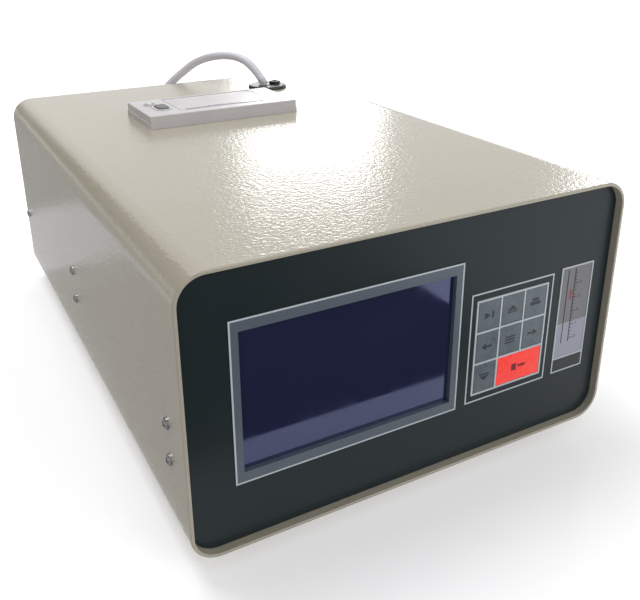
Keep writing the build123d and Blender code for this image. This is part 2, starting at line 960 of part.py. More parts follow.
def printer_bezel():
    """Moulded frame on the case's top: stepped side, hollow under its deck, open for the door."""
    upper_height = printer_height - printer_step_height
    foot_part = upright(printer_outline(0), printer_x, printer_y, case_high, printer_step_height)
    upper = upright(
        printer_outline(printer_step), printer_x, printer_y, case_high + printer_step_height, upper_height
    )
    bezel = foot_part + chamfer(upper.faces().sort_by(Axis.Z)[-1].edges(), printer_edge)
    inside = Rectangle(printer_width - 2 * printer_wall, printer_depth - 2 * printer_wall)
    bezel -= upright(inside, printer_x, printer_y, case_high - 1, printer_height - printer_deck + 1)
    x, y = door_limits()
    bezel -= block(
        (x[0] - door_gap, x[1] + door_gap),
        (y[0] - door_gap, y[1] + door_gap),
        (case_high, printer_top + 1),
    )
    bezel += hinge_ears()
    feed_x, feed_y = feed_key_place()
    feed = RectangleRounded(feed_key_width, feed_key_length, feed_key_corner)
    collar = offset(feed, feed_key_clearance + feed_collar)
    deck_low = printer_top - printer_deck
    bezel += upright(collar, feed_x, feed_y, deck_low, printer_deck + feed_collar_proud)
    hole = offset(feed, feed_key_clearance)
    bezel -= upright(hole, feed_x, feed_y, case_high, printer_height + 2)
    bezel -= printer_hinge_pin()
    lamp_x, lamp_y = lamp_place()
    ring_top = printer_deck + lamp_ring_proud
    bezel += rod(lamp_ring, (lamp_x, lamp_y, deck_low), (0, 0, 1), ring_top)
    dish = rod(lamp_ring - 2, (lamp_x, lamp_y, printer_top - lamp_ring_recess), (0, 0, 1), printer_deck)
    bezel -= dish
    return bezel - rod(lamp_diameter, (lamp_x, lamp_y, case_high), (0, 0, 1), printer_height + 2)


def hinge_ears():
    """Two lugs below the bezel's deck that carry the ends of the door's pin."""
    x, _ = door_limits()
    y, z = hinge_axis()
    lugs = []
    for edge, side in ((x[0] - door_gap, -1), (x[1] + door_gap, 1)):
        lug = block(
            sorted((edge, edge + side * hinge_pin_hold)),
            (y - hinge_lug / 2, y + hinge_lug / 2),
            (z - hinge_lug / 2, printer_top - printer_deck + 0.1),
        )
        lugs.append(lug)
    return lugs


def printer_hinge_pin():
    x, _ = door_limits()
    y, z = hinge_axis()
    hold = door_gap + hinge_pin_hold
    return rod(hinge_pin, (x[0] - hold, y, z), (1, 0, 0), door_width + 2 * hold)


def printer_door():
    """The paper door: a ribbed plate whose rear edge is rolled round the hinge pin."""
    x, y = door_limits()
    axis_y, axis_z = hinge_axis()
    plate = block(x, (y[0], axis_y), (printer_top - door_sheet, printer_top))
    front_edge = plate.faces().sort_by(Axis.Z)[-1].edges().filter_by(Axis.X).sort_by(Axis.Y)[0]
    plate = chamfer(front_edge, door_edge)
    door = plate + rod(2 * door_hinge_radius, (x[0], axis_y, axis_z), (1, 0, 0), door_width)
    for step in range(door_rib_count):
        rib_x = x[0] + door_width * (step + 0.5) / door_rib_count
        door += block(
            (rib_x - door_rib / 2, rib_x + door_rib / 2),
            (y[0] + door_rib_from_front, axis_y - door_rib_from_hinge),
            (printer_top - door_rib_low, printer_top - door_sheet / 2),
        )
    door -= block(
        (x[0] + grip_inset, x[1] - grip_inset),
        (y[0] + grip_from_front, y[0] + grip_from_front + grip_width),
        (printer_top - grip_depth, printer_top + 1),
    )
    bore = hinge_pin + 2 * hinge_clearance
    return door - rod(bore, (x[0] - 1, axis_y, axis_z), (1, 0, 0), door_width + 2)


def paper_bay():
    """The moulded bin under the door, with a rounded floor for the roll."""
    x, y, z = bay_limits()
    bay = block(x, y, z)
    bay = fillet(bay.faces().sort_by(Axis.Z)[0].edges().filter_by(Axis.X), bay_round)
    inner = block(
        (x[0] + bay_wall, x[1] - bay_wall), (y[0] + bay_wall, y[1] - bay_wall), (z[0] + bay_wall, z[1] + 5)
    )
    inner_edges = inner.faces().sort_by(Axis.Z)[0].edges().filter_by(Axis.X)
    bay -= fillet(inner_edges, bay_round - bay_wall)
    axis_y, axis_z = hinge_axis()
    room = hinge_lug / 2 + hinge_lug_gap
    return bay - block((x[0] - 1, x[1] + 1), (axis_y - room, axis_y + room), (axis_z - room, z[1] + 1))


def mechanism_limits():
    """The print mechanism fills the front of the bay."""
    x, y, z = bay_limits()
    inset = bay_wall + layer_gap
    top = z[1] - mechanism_below_deck
    return (
        (x[0] + inset, x[1] - inset),
        (y[0] + bay_wall, y[0] + bay_wall + platen_diameter + platen_room),
        (top - mechanism_height, top),
    )


def platen_axis():
    _, y, z = mechanism_limits()
    return (y[0] + y[1]) / 2, z[1] - platen_diameter / 2 - mechanism_sheet


def print_mechanism():
    """A folded frame whose two end plates carry the platen, with the thermal head in front."""
    x, y, z = mechanism_limits()
    between = (x[0] + mechanism_sheet, x[1] - mechanism_sheet)
    frame = block(x, y, z)
    frame -= block(between, (y[0] - 1, y[1] + 1), (z[0] + mechanism_floor, z[1] + 1))
    frame += block(between, (y[0], y[0] + head_sheet), (z[0], z[1] - 1))
    axis_y, axis_z = platen_axis()
    bore = platen_shaft + 2 * shaft_clearance
    return frame - rod(bore, (x[0] - 1, axis_y, axis_z), (1, 0, 0), x[1] - x[0] + 2)


def platen_roller():
    """Rubber-covered roller on a steel shaft."""
    x, _, _ = mechanism_limits()
    axis_y, axis_z = platen_axis()
    inset = mechanism_sheet + platen_end_gap
    roller = rod(platen_diameter, (x[0] + inset, axis_y, axis_z), (1, 0, 0), x[1] - x[0] - 2 * inset)
    shaft_length = x[1] - x[0] - 2 * layer_gap
    return roller + rod(platen_shaft, (x[0] + layer_gap, axis_y, axis_z), (1, 0, 0), shaft_length)


def feed_flange_low():
    """The underside of the feed key's flange."""
    return printer_top - printer_deck - feed_flange_gap - feed_flange


def printer_feed_key():
    """The paper-feed key: a rounded cap in its collar, with a flange below the deck."""
    x, y = feed_key_place()
    low = feed_flange_low() + feed_flange
    top = printer_top + feed_key_proud
    outline = RectangleRounded(feed_key_width, feed_key_length, feed_key_corner)
    cap = upright(outline, x, y, low, top - low)
    cap = fillet(cap.faces().sort_by(Axis.Z)[-1].edges(), feed_key_round)
    return cap + upright(offset(outline, feed_flange), x, y, feed_flange_low(), feed_flange)


def printer_key_board():
    """The small board under the feed key: its switch and the status lamp stand on it."""
    x, y = feed_key_place()
    board_x = printer_x - printer_width / 2 + key_board_from_left
    top = case_high + key_board_sheet
    outline = Rectangle(key_board_width, printer_depth - 2 * printer_wall - 1)
    board = upright(outline, board_x, printer_y, case_high, key_board_sheet)
    post_top = feed_flange_low() - feed_key_travel - layer_gap
    return board + rod(key_post, (x, y, top), (0, 0, 1), post_top - top)


def printer_lamp():
    x, y = lamp_place()
    low = case_high + key_board_sheet
    lamp = rod(lamp_diameter, (x, y, low), (0, 0, 1), printer_top - low)
    lens = Pos(x, y, printer_top) * Sphere(lamp_diameter / 2)
    return lamp + (lens & block((x - 9, x + 9), (y - 9, y + 9), (printer_top - 1, printer_top + lamp_lens)))


# Sampling inlet and hose


def inlet_port():
    """Black screwed port: a rounded flange on the case and a threaded barrel through its top."""
    flange = rod(port_flange, (port_x, port_y, case_high), (0, 0, 1), port_flange_height)
    flange = fillet(flange.faces().sort_by(Axis.Z)[-1].edges(), port_flange_round)
    barrel_low = case_high - port_thread_length
    port = flange + rod(port_thread, (port_x, port_y, barrel_low), (0, 0, 1), port_thread_length)
    port -= rod(port_bore, (nipple_x, port_y, barrel_low - 1), (0, 0, 1), 2 * port_thread_length)
    spare_low = case_high + port_flange_height - port_plug_depth
    return port - rod(port_bore, (plug_x, port_y, spare_low), (0, 0, 1), port_thread_length)


def port_plug():
    """Low screwed plug with a hexagon socket, in the port's spare hole."""
    low = case_high + port_flange_height
    plug = rod(port_plug_diameter, (plug_x, port_y, low), (0, 0, 1), port_plug_height)
    plug = fillet(plug.faces().sort_by(Axis.Z)[-1].edges(), port_plug_round)
    plug += rod(port_bore, (plug_x, port_y, low - port_plug_depth), (0, 0, 1), port_plug_depth + 1)
    socket = RegularPolygon(port_plug_socket, 6)
    return plug - upright(socket, plug_x, port_y, low + port_plug_floor, port_plug_height)


def inlet_nut():
    """The hexagon nut that clamps the port under the case's top."""
    low = case_high - case_sheet - port_nut
    nut = upright(RegularPolygon(port_nut_radius, 6), port_x, port_y, low, port_nut)
    return nut - rod(port_thread, (port_x, port_y, low - 1), (0, 0, 1), port_nut + 2)


def inlet_nipple():
    """Grey bent nipple: a collar on the flange, a bend and the mouth that the hose meets."""
    seat = case_high + port_flange_height
    knee = Vector(nipple_x, port_y, case_high + nipple_knee)
    reach = Vector(*nipple_reach)
    nipple = Pos(*knee) * Sphere(nipple_diameter / 2)
    nipple += rod(nipple_diameter, knee, reach.normalized(), reach.length)
    nipple -= rod(2 * nipple_diameter, knee + reach, reach.normalized(), nipple_diameter)
    nipple += rod(nipple_collar, (nipple_x, port_y, seat), (0, 0, 1), nipple_collar_height)
    nipple -= block((-case_width, case_width), (0, case_depth), (case_middle, seat))
    nipple += rod(port_bore, (nipple_x, port_y, seat - nipple_thread), (0, 0, 1), nipple_thread)
    drill_low = seat - nipple_thread - 1
    nipple -= rod(nipple_bore_top, (nipple_x, port_y, drill_low), (0, 0, 1), knee.Z - drill_low)
    return nipple - rod(nipple_bore_top, knee, reach.normalized(), 2 * nipple_diameter)


def hose_radii():
    """One arc for each corner, as large as its two runs allow."""
    points = [Vector(*point) for point in hose_points]
    radii = []
    for before, corner, after in zip(points, points[1:], points[2:]):
        run_in = corner - before
        run_out = after - corner
        turn = radians(run_in.get_angle(run_out))
        radii.append(hose_bend_share * min(run_in.length, run_out.length) / tan(turn / 2))
    return radii


def sampling_hose():
    """The white hose, as straight runs joined by tangent arcs."""
    path = FilletPolyline(*hose_points, radius=hose_radii())
    section = Plane(origin=path @ 0, z_dir=path % 0) * Circle(hose_diameter / 2)
    return sweep(section, path=path)


def rear_elbow():
    """Grey swivel elbow: a threaded stub, a turned body and a socket for the hose."""
    z = case_low + elbow_height
    knee = Vector(elbow_x, elbow_y, z)
    reach = Vector(*elbow_reach)
    inner_end = rear_face - rear_sheet - elbow_thread_length
    body = rod(elbow_body, (elbow_x, rear_face, z), (0, 1, 0), elbow_standoff)
    body += Pos(*knee) * Sphere(elbow_body / 2)
    body += rod(elbow_body, knee, reach.normalized(), reach.length)
    body += rear_hexagon(elbow_hexagon, elbow_x, z, elbow_hexagon_height)
    body += rod(elbow_thread, (elbow_x, inner_end, z), (0, 1, 0), rear_face - inner_end + 1)
    body -= rod(hose_bore, (elbow_x, inner_end - 1, z), (0, 1, 0), elbow_y - inner_end + 1)
    return body - rod(hose_bore, knee, reach.normalized(), reach.length + 1)


def rear_hexagon(radius, x, z, height):
    """A fitting's hexagon, standing on the rear panel."""
    return slab(RegularPolygon(radius, 6), x, z, rear_face, height)


# Rear panel


def through_rear(profile, x, z):
    """A cutter right through the rear panel."""
    return slab(profile, x, z, rear_face - 2 * rear_sheet, 4 * rear_sheet)


def rear_panel():
    """A shallow folded pan that opens to the rear, with vents and the holes for its fittings."""
    outline = RectangleRounded(panel_width, panel_height, panel_corner)
    panel = slab(outline, 0, case_middle, rear_face - rear_sheet, rear_sheet)
    half = panel_width / 2
    for side in (-1, 1):
        flange = block(
            sorted((side * half, side * (half - flange_sheet))),
            (rear_face - rear_sheet, rear_face + rear_flange_reach),
            (case_middle - flange_height / 2, case_middle + flange_height / 2),
        )
        panel += fillet(flange.edges().filter_by(Axis.X).sort_by(Axis.Y)[-2:], panel_fold)
    panel = cross_holes(panel, side_screw, side_screw_places()[-1:])
    slot = SlotOverall(vent_length, vent_width, rotation=90)
    for step in range(vent_count):
        x = vent_x + (step - (vent_count - 1) / 2) * vent_pitch
        panel -= through_rear(slot, x, case_low + vent_height)
    body = Rectangle(inlet_body_width + fitting_gap, inlet_body_height + fitting_gap)
    panel -= through_rear(body, inlet_x, socket_z)
    width, height = switch_body()
    panel -= through_rear(Rectangle(width + fitting_gap, height + fitting_gap), rocker_x, socket_z)
    panel -= through_rear(Circle((fuse_body + fitting_gap) / 2), fuse_x, socket_z)
    shell = Rectangle(serial_body_width + fitting_gap, serial_body_height + fitting_gap)
    panel -= through_rear(shell, serial_x, socket_z)
    panel -= through_rear(Circle(exhaust_thread / 2), exhaust_x, exhaust_z)
    panel -= through_rear(Circle((elbow_thread + fitting_gap / 2) / 2), elbow_x, case_low + elbow_height)
    for x in inlet_screw_places():
        panel -= through_rear(Circle(side_screw / 2), x, socket_z)
    return panel


def inlet_screw_places():
    return [inlet_x + side * inlet_screw_pitch / 2 for side in (-1, 1)]


def inlet_depth():
    return inlet_cavity_depth + inlet_floor


def mains_inlet():
    """Three-pin mains inlet: an eared flange, a body through the panel and a six-sided cavity."""
    flange = Rectangle(inlet_body_width + 2 * inlet_border, inlet_flange_height)
    flange += Rectangle(inlet_flange_width, inlet_ear_height)
    flange = fillet(flange.vertices(), inlet_corner)
    inlet = slab(flange, inlet_x, socket_z, rear_face, inlet_flange_sheet)
    face = rear_face + inlet_flange_sheet
    body = Rectangle(inlet_body_width, inlet_body_height)
    inlet += slab(body, inlet_x, socket_z, face - inlet_depth(), inlet_depth())
    cavity = Rectangle(inlet_body_width - 2 * inlet_wall, inlet_body_height - 2 * inlet_wall)
    cavity = chamfer(cavity.vertices().group_by(Axis.Y)[-1], inlet_key)
    inlet -= slab(cavity, inlet_x, socket_z, face - inlet_cavity_depth, inlet_cavity_depth + 1)
    for x, z in pin_places():
        inlet -= slab(Rectangle(*pin_section), x, z, face - inlet_depth() - 1, inlet_floor + 2)
    for x in inlet_screw_places():
        hole_start = (x, rear_face - 1, socket_z)
        inlet -= rod(side_screw + fitting_gap, hole_start, (0, 1, 0), inlet_flange_sheet + 2)
    return inlet


def pin_places():
    """The outer pins lie lower than the middle one."""
    return [
        (inlet_x + step * pin_pitch, socket_z + (pin_rise if step == 0 else -pin_rise))
        for step in (-1, 0, 1)
    ]


def mains_pins():
    """Three flat pins held in the inlet's floor, with solder tags behind."""
    back = rear_face + inlet_flange_sheet - inlet_depth() - pin_tag
    return [slab(Rectangle(*pin_section), x, z, back, pin_length + pin_tag) for x, z in pin_places()]


def inlet_screws():
    screw = pan_screw(side_screw, side_screw_head, side_screw_head_height, inlet_screw_length)
    face = rear_face + inlet_flange_sheet
    return [Pos(x, face, socket_z) * Rot(-90, 0, 0) * screw for x in inlet_screw_places()]


def switch_body():
    """Width and height of the switch's box behind the panel."""
    border = 2 * (rocker_wall + rocker_clearance)
    return rocker_width + border, rocker_length + border


def rocker_pivot():
    """Y and Z of the rocker's pivot."""
    return rear_face - rocker_pivot_depth, socket_z


def switch_frame():
    """The snap-in switch's housing: a bezel on the panel and a box behind it."""
    width, height = switch_body()
    border = 2 * rocker_frame_border
    bezel = RectangleRounded(width + border, height + border, rocker_frame_corner)
    frame = slab(bezel, rocker_x, socket_z, rear_face, rocker_frame_sheet)
    box = Rectangle(width, height)
    frame += slab(box, rocker_x, socket_z, rear_face - switch_depth, switch_depth)
    room = Rectangle(rocker_width + 2 * rocker_clearance, rocker_length + 2 * rocker_clearance)
    frame -= slab(room, rocker_x, socket_z, rear_face - switch_depth / 2, switch_depth)
    y, z = rocker_pivot()
    span = rocker_width + 2 * (pivot_reach + 0.2)
    frame -= rod(pivot_diameter + 0.2, (rocker_x - span / 2, y, z), (1, 0, 0), span)
    tag = Rectangle(*switch_tag)
    for side in (-1, 1):
        x = rocker_x + side * switch_tag_spread
        frame += slab(tag, x, socket_z, rear_face - switch_depth - switch_tag_length, switch_tag_length + 1)
    return frame


def power_rocker():
    """The rocker, shown switched off: its lower half stands out and its upper half lies in."""
    y, z = rocker_pivot()
    outer = rocker_length / 2 - rocker_end_gap
    profile = Polyline(
        (y - rocker_heel, -rocker_heel_width / 2),
        (y + rocker_side, -outer + rocker_draft),
        (y + rocker_crest, -outer),
        (y + rocker_crest - rocker_draft, 0),
        (y + rocker_crest, outer),
        (y + rocker_side, outer - rocker_draft),
        (y - rocker_heel, rocker_heel_width / 2),
        close=True,
    )
    side_view = Plane(origin=(0, 0, 0), x_dir=(0, 1, 0), z_dir=(1, 0, 0)) * make_face(profile)
    half = rocker_width / 2
    rocker = Pos(rocker_x - half, 0, z) * extrude(side_view, rocker_width)
    pivot_start = (rocker_x - half - pivot_reach, y, z)
    rocker += rod(pivot_diameter, pivot_start, (1, 0, 0), rocker_width + 2 * pivot_reach)
    return rocker.rotate(Axis((rocker_x, y, z), (1, 0, 0)), rocker_throw)


def fuse_holder():
    """A round fuse carrier with a slotted screw cap."""
    start = rear_face - fuse_body_depth
    holder = rod(fuse_body, (fuse_x, start, socket_z), (0, 1, 0), fuse_body_depth + 1)
    cap = rod(fuse_cap, (fuse_x, rear_face, socket_z), (0, 1, 0), fuse_cap_height)
    holder += fillet(cap.faces().sort_by(Axis.Y)[-1].edges(), fuse_cap_round)
    width, height, depth = fuse_slot
    slot_floor = rear_face + fuse_cap_height - depth
    return holder - slab(Rectangle(width, height), fuse_x, socket_z, slot_floor, depth + 1)


def serial_port():
    """Nine-way socket: a plate, a D-shaped shell and the two jack posts."""
    plate = RectangleRounded(serial_width, serial_height, serial_corner)
    port = slab(plate, serial_x, socket_z, rear_face, serial_plate)
    shell = Trapezoid(serial_shell_width, serial_shell_height, serial_shell_angle)
    port += slab(shell, serial_x, socket_z, rear_face, serial_shell_depth)
    body = Rectangle(serial_body_width, serial_body_height)
    port += slab(body, serial_x, socket_z, rear_face - serial_body_depth, serial_body_depth)
    for side in (-1, 1):
        port += rear_hexagon(jack_post, serial_x + side * jack_spread, socket_z, jack_height)
    for row, count in ((serial_row, 5), (-serial_row, 4)):
        for step in range(count):
            x = serial_x + (step - (count - 1) / 2) * serial_pitch
            start = (x, rear_face + serial_shell_depth / 2, socket_z + row)
            port -= rod(serial_hole, start, (0, 1, 0), serial_shell_depth)
    return port


def exhaust_port():
    """Barbed outlet with a hexagon, screwed through the rear panel."""
    inner_end = rear_face - rear_sheet - exhaust_thread_length
    port = rod(exhaust_thread, (exhaust_x, inner_end, exhaust_z), (0, 1, 0), rear_face - inner_end)
    port += rear_hexagon(exhaust_hexagon, exhaust_x, exhaust_z, exhaust_hexagon_height)
    barb = barbed_nipple(exhaust_barb, exhaust_bore, exhaust_barb_length)
    port += Pos(exhaust_x, rear_face + 1, exhaust_z) * Rot(-90, 0, 0) * barb
    length = rear_face - inner_end + exhaust_barb_length + 4
    return port - rod(exhaust_bore, (exhaust_x, inner_end - 1, exhaust_z), (0, 1, 0), length)


# Inside


def tray_limits():
    half = inner_width / 2 - panel_gap
    return (-half, half), (case_front + tray_from_front, rear_face - tray_from_rear)


def standoff_places():
    """Corners of the main board and of the power supply."""
    return [
        (x, y)
        for xs, ys in (main_board_limits(), supply_limits())
        for x in (xs[0] + standoff_inset, xs[1] - standoff_inset)
        for y in (ys[0] + standoff_inset, ys[1] - standoff_inset)
    ]


def main_board_limits():
    x, y = tray_limits()
    left = x[0] + board_from_tray_side
    front = y[0] + board_from_tray_front
    return (left, left + main_board_width), (front, front + main_board_length)


def cradle_limits():
    rear = tray_limits()[1][1] - cradle_from_rear
    return (exhaust_x - cradle_width / 2, exhaust_x + cradle_width / 2), (rear - cradle_length, rear)


def supply_limits():
    left = tray_limits()[0][0] + board_from_tray_side
    rear = cradle_limits()[1][0] - supply_gap
    return (left, left + supply_width), (rear - supply_length, rear)


def chassis_tray():
    """Folded steel tray: low side flanges, pressed standoffs and the bushes for the feet's bolts."""
    x, y = tray_limits()
    width = x[1] - x[0]
    wall = RectangleRounded(width, width, inner_corner)
    wall -= RectangleRounded(width - 2 * tray_sheet, width - 2 * tray_sheet, inner_corner - tray_sheet)
    tray = slab(wall, 0, tray_low + width / 2, y[0], y[1] - y[0])
    tray -= block((-case_width, case_width), (y[0] - 1, y[1] + 1), (tray_low + tray_flange, case_width * 2))
    tray = cross_holes(tray, side_screw, side_screw_places()[2:4])
    for px, py in standoff_places():
        tray += rod(standoff_diameter, (px, py, tray_top), (0, 0, 1), standoff_height)
    for px, py in foot_places:
        if y[0] < py < y[1]:
            tray += rod(foot_bush, (px, py, tray_top), (0, 0, 1), foot_bush_height)
            tray -= rod(foot_bolt, (px, py, 0), (0, 0, 1), tray_top + foot_bush)
    return tray + capsule_cradle()


def capsule_cradle():
    """The clip that carries the filter capsule on the tray."""
    x, y = cradle_limits()
    cradle = block(x, y, (tray_top, exhaust_z))
    return cradle - rod(capsule_diameter, (exhaust_x, y[0] - 1, exhaust_z), (0, 1, 0), cradle_length + 2)


def main_board():
    """The counting board: chips, a heat sink and a connector along its right edge."""
    x, y = main_board_limits()
    top = tray_top + standoff_height + board_sheet
    board = block(x, y, (top - board_sheet, top))
    for step in range(chip_count):
        left = x[0] + chip_inset_x + step * chip_pitch
        front = y[0] + chip_inset_y
        board += block((left, left + chip_width), (front, front + chip_length), (top, top + chip_height))
    for step in range(sink_fins):
        left = x[0] + sink_inset_x
        front = y[0] + sink_inset_y + step * sink_pitch
        board += block((left, left + sink_width), (front, front + sink_fin), (top, top + sink_height))
    right = x[1] - connector_inset
    rear = y[1] - connector_inset
    return board + block(
        (right - connector_width, right), (rear - connector_length, rear), (top, top + connector_height)
    )


def power_supply():
    """Open-frame supply: its transformer, capacitors and heat sink stand on one board."""
    x, y = supply_limits()
    top = tray_top + standoff_height + board_sheet
    board = block(x, y, (top - board_sheet, top))
    width, length, height = transformer_size
    left = x[0] + transformer_inset[0]
    front = y[0] + transformer_inset[1]
    board += block((left, left + width), (front, front + length), (top, top + height))
    big = (x[0] + big_capacitor_inset[0], y[0] + big_capacitor_inset[1], top)
    board += rod(big_capacitor[0], big, (0, 0, 1), big_capacitor[1])
    small = (x[0] + small_capacitor_inset[0], y[1] - small_capacitor_inset[1], top)
    board += rod(small_capacitor[0], small, (0, 0, 1), small_capacitor[1])
    sheet, sink_top = supply_sink
    right = x[1] - supply_sink_inset[0]
    inset = supply_sink_inset[1]
    return board + block((right - sheet, right), (y[0] + inset, y[1] - inset), (top, top + sink_top))


def sensor_limits():
    middle_x = port_x + sensor_shift
    middle_y = port_y + sensor_from_port
    x = (middle_x - sensor_width / 2, middle_x + sensor_width / 2)
    return x, (middle_y - sensor_depth / 2, middle_y + sensor_depth / 2)


def optical_axis():
    """Y and Z of the laser beam through the sensing block."""
    return port_y, tray_top + beam_height


def optical_sensor():
    """Machined sensing block: the air passes down through it, across the laser's bore."""
    x, y = sensor_limits()
    top = tray_top + sensor_height
    sensor = block(x, y, (tray_top, top))
    sensor = chamfer(sensor.edges().filter_by(Axis.Z), sensor_edge)
    axis_y, axis_z = optical_axis()
    sensor -= rod(beam_bore, (x[0] - 1, axis_y, axis_z), (1, 0, 0), x[1] - x[0] + 2)
    sensor += rod(sensor_neck, (nipple_x, port_y, top), (0, 0, 1), sensor_neck_height)
    return sensor - rod(port_bore, (nipple_x, port_y, tray_top + sensor_floor), (0, 0, 1), 2 * sensor_height)


def inlet_tube():
    """The straight sampling tube from the port's thread down to the sensing block."""
    low = tray_top + sensor_height + sensor_neck_height
    high = case_high - port_thread_length
    tube = rod(port_bore + 2 * tube_wall, (nipple_x, port_y, low), (0, 0, 1), high - low)
    return tube - rod(port_bore, (nipple_x, port_y, low - 1), (0, 0, 1), high - low + 2)


def laser_module():
    """Turned laser housing with cooling grooves, screwed to the block's left face."""
    x, _ = sensor_limits()
    y, z = optical_axis()
    housing = rod(laser_diameter, (x[0], y, z), (-1, 0, 0), laser_length)
    housing += rod(laser_flange, (x[0], y, z), (-1, 0, 0), laser_flange_sheet)
    core = laser_diameter - 2 * laser_groove_depth
    for step in range(laser_groove_count):
        start = (x[0] - laser_groove_start - laser_groove_pitch * step, y, z)
        groove = rod(laser_diameter + 1, start, (-1, 0, 0), laser_groove)
        housing -= groove - rod(core, start, (-1, 0, 0), laser_groove)
    return housing


def light_trap():
    """The closed horn that swallows the beam beyond the sensing volume."""
    x, _ = sensor_limits()
    y, z = optical_axis()
    trap = rod(trap_diameter, (x[1], y, z), (1, 0, 0), trap_length)
    return fillet(trap.faces().sort_by(Axis.X)[-1].edges(), trap_round)


def detector_board():
    """The photodetector's board with its screening can, on the sensing block's front face."""
    x, y = sensor_limits()
    z = optical_axis()[1]
    middle = (x[0] + x[1]) / 2
    face = y[0] - board_sheet
    board = slab(Rectangle(detector_width, detector_height), middle, z, face, board_sheet)
    can = RectangleRounded(can_width, can_height, can_corner)
    return board + slab(can, middle, z, face - can_depth, can_depth)


def air_pump():
    """Diaphragm pump: a valve head with two nipples and a motor behind it, on a flat foot."""
    x, y = tray_limits()
    middle = x[1] - pump_from_right
    front = y[0] + pump_from_tray_front
    rear = front + pump_head_length
    foot_width, foot_sheet = pump_foot
    base = tray_top + foot_sheet
    axis_z = base + pump_head / 2
    head = block((middle - pump_head / 2, middle + pump_head / 2), (front, rear), (base, base + pump_head))
    head = fillet(head.edges().filter_by(Axis.Y), pump_head_corner)
    pump = head + rod(pump_motor, (middle, rear, axis_z), (0, 1, 0), pump_motor_length)
    plate_x = (middle - foot_width / 2, middle + foot_width / 2)
    pump += block(plate_x, (front, rear + pump_motor_length), (tray_top, base))
    side_width, side_length = pump_cradle
    for side in (-1, 1):
        nipple = (middle + side * pump_nipple_spread, front - pump_nipple_length, axis_z + pump_nipple_rise)
        pump += rod(pump_nipple, nipple, (0, 1, 0), pump_nipple_length + 1)
        side_x = middle + side * pump_cradle_spread
        side_y = front + pump_cradle_start
        pump += block(
            (side_x - side_width / 2, side_x + side_width / 2),
            (side_y, side_y + side_length),
            (tray_top + foot_sheet / 2, axis_z),
        )
    return pump


def exhaust_filter():
    """Clear-ended filter capsule that lies in line with the exhaust port."""
    rear = rear_face - rear_sheet - exhaust_thread_length
    radius = capsule_diameter / 2
    port = capsule_port / 2
    barrel_low = capsule_port_length + capsule_cone
    barrel_high = barrel_low + capsule_barrel
    cone_high = barrel_high + capsule_cone
    points = [(0, 0), (port, 0), (port, capsule_port_length), (radius, barrel_low)]
    points += [(radius, barrel_high), (port, cone_high)]
    points += [(port, cone_high + capsule_port_length), (0, cone_high + capsule_port_length)]
    profile = Plane.XZ * make_face(Polyline(*points, close=True))
    return Pos(exhaust_x, rear, exhaust_z) * Rot(90, 0, 0) * revolve(profile, Axis.Z)


def build():
    """Every piece of the counter, by the name of its node."""
    pieces = {
        "outer_sleeve": outer_sleeve(),
        "feet": feet(),
        "foot_screws": foot_screws(),
        "side_screws": side_screws(),
        "front_panel": front_panel(),
        "front_overlay": front_overlay(),
        "lcd_bezel": lcd_bezel(),
        "lcd_cover": lcd_cover(),
        "lcd_glass": lcd_glass(),
        "lcd_board": lcd_board() + lcd_backlight(),
        "keypad_grid": keypad_grid(),
        "keypad_mat": keypad_mat(),
        "keypad_board": keypad_board(),
        "panel_screws": board_screws() + inlet_screws(),
        "meter_body": meter_body(),
        "meter_float": meter_float(),
        "meter_scale": meter_scale(),
        "meter_nipples": meter_nipples(),
        "meter_frame": meter_frame(),
        "printer_bezel": printer_bezel(),
        "printer_door": printer_door(),
        "printer_hinge_pin": printer_hinge_pin(),
        "printer_feed_key": printer_feed_key(),
        "printer_key_board": printer_key_board(),
        "printer_lamp": printer_lamp(),
        "paper_bay": paper_bay(),
        "print_mechanism": print_mechanism(),
        "platen_roller": platen_roller(),
        "inlet_port": inlet_port(),
        "inlet_nut": inlet_nut(),
        "port_plug": port_plug(),
        "inlet_nipple": inlet_nipple(),
        "sampling_hose": sampling_hose(),
        "rear_elbow": rear_elbow(),
        "rear_panel": rear_panel(),
        "mains_inlet": mains_inlet(),
        "mains_pins": mains_pins(),
        "switch_frame": switch_frame(),
        "power_rocker": power_rocker(),
        "fuse_holder": fuse_holder(),
        "serial_port": serial_port(),
        "exhaust_port": exhaust_port(),
        "chassis_tray": chassis_tray(),
        "main_board": main_board(),
        "power_supply": power_supply(),
        "optical_sensor": optical_sensor(),
        "inlet_tube": inlet_tube(),
        "laser_module": laser_module(),
        "light_trap": light_trap(),
        "detector_board": detector_board(),
        "air_pump": air_pump(),
        "exhaust_filter": exhaust_filter(),
    }
    for number, place in enumerate(key_places(), 1):
        pieces[f"key_{number}"] = key(*place)
    return pieces


os.makedirs("parts", exist_ok=True)
for name, shape in build().items():
    solids = Compound(children=list(shape)) if isinstance(shape, list) else shape
    export_step(solids, f"parts/{name}.step")
print("hose radii", [round(radius, 1) for radius in hose_radii()])
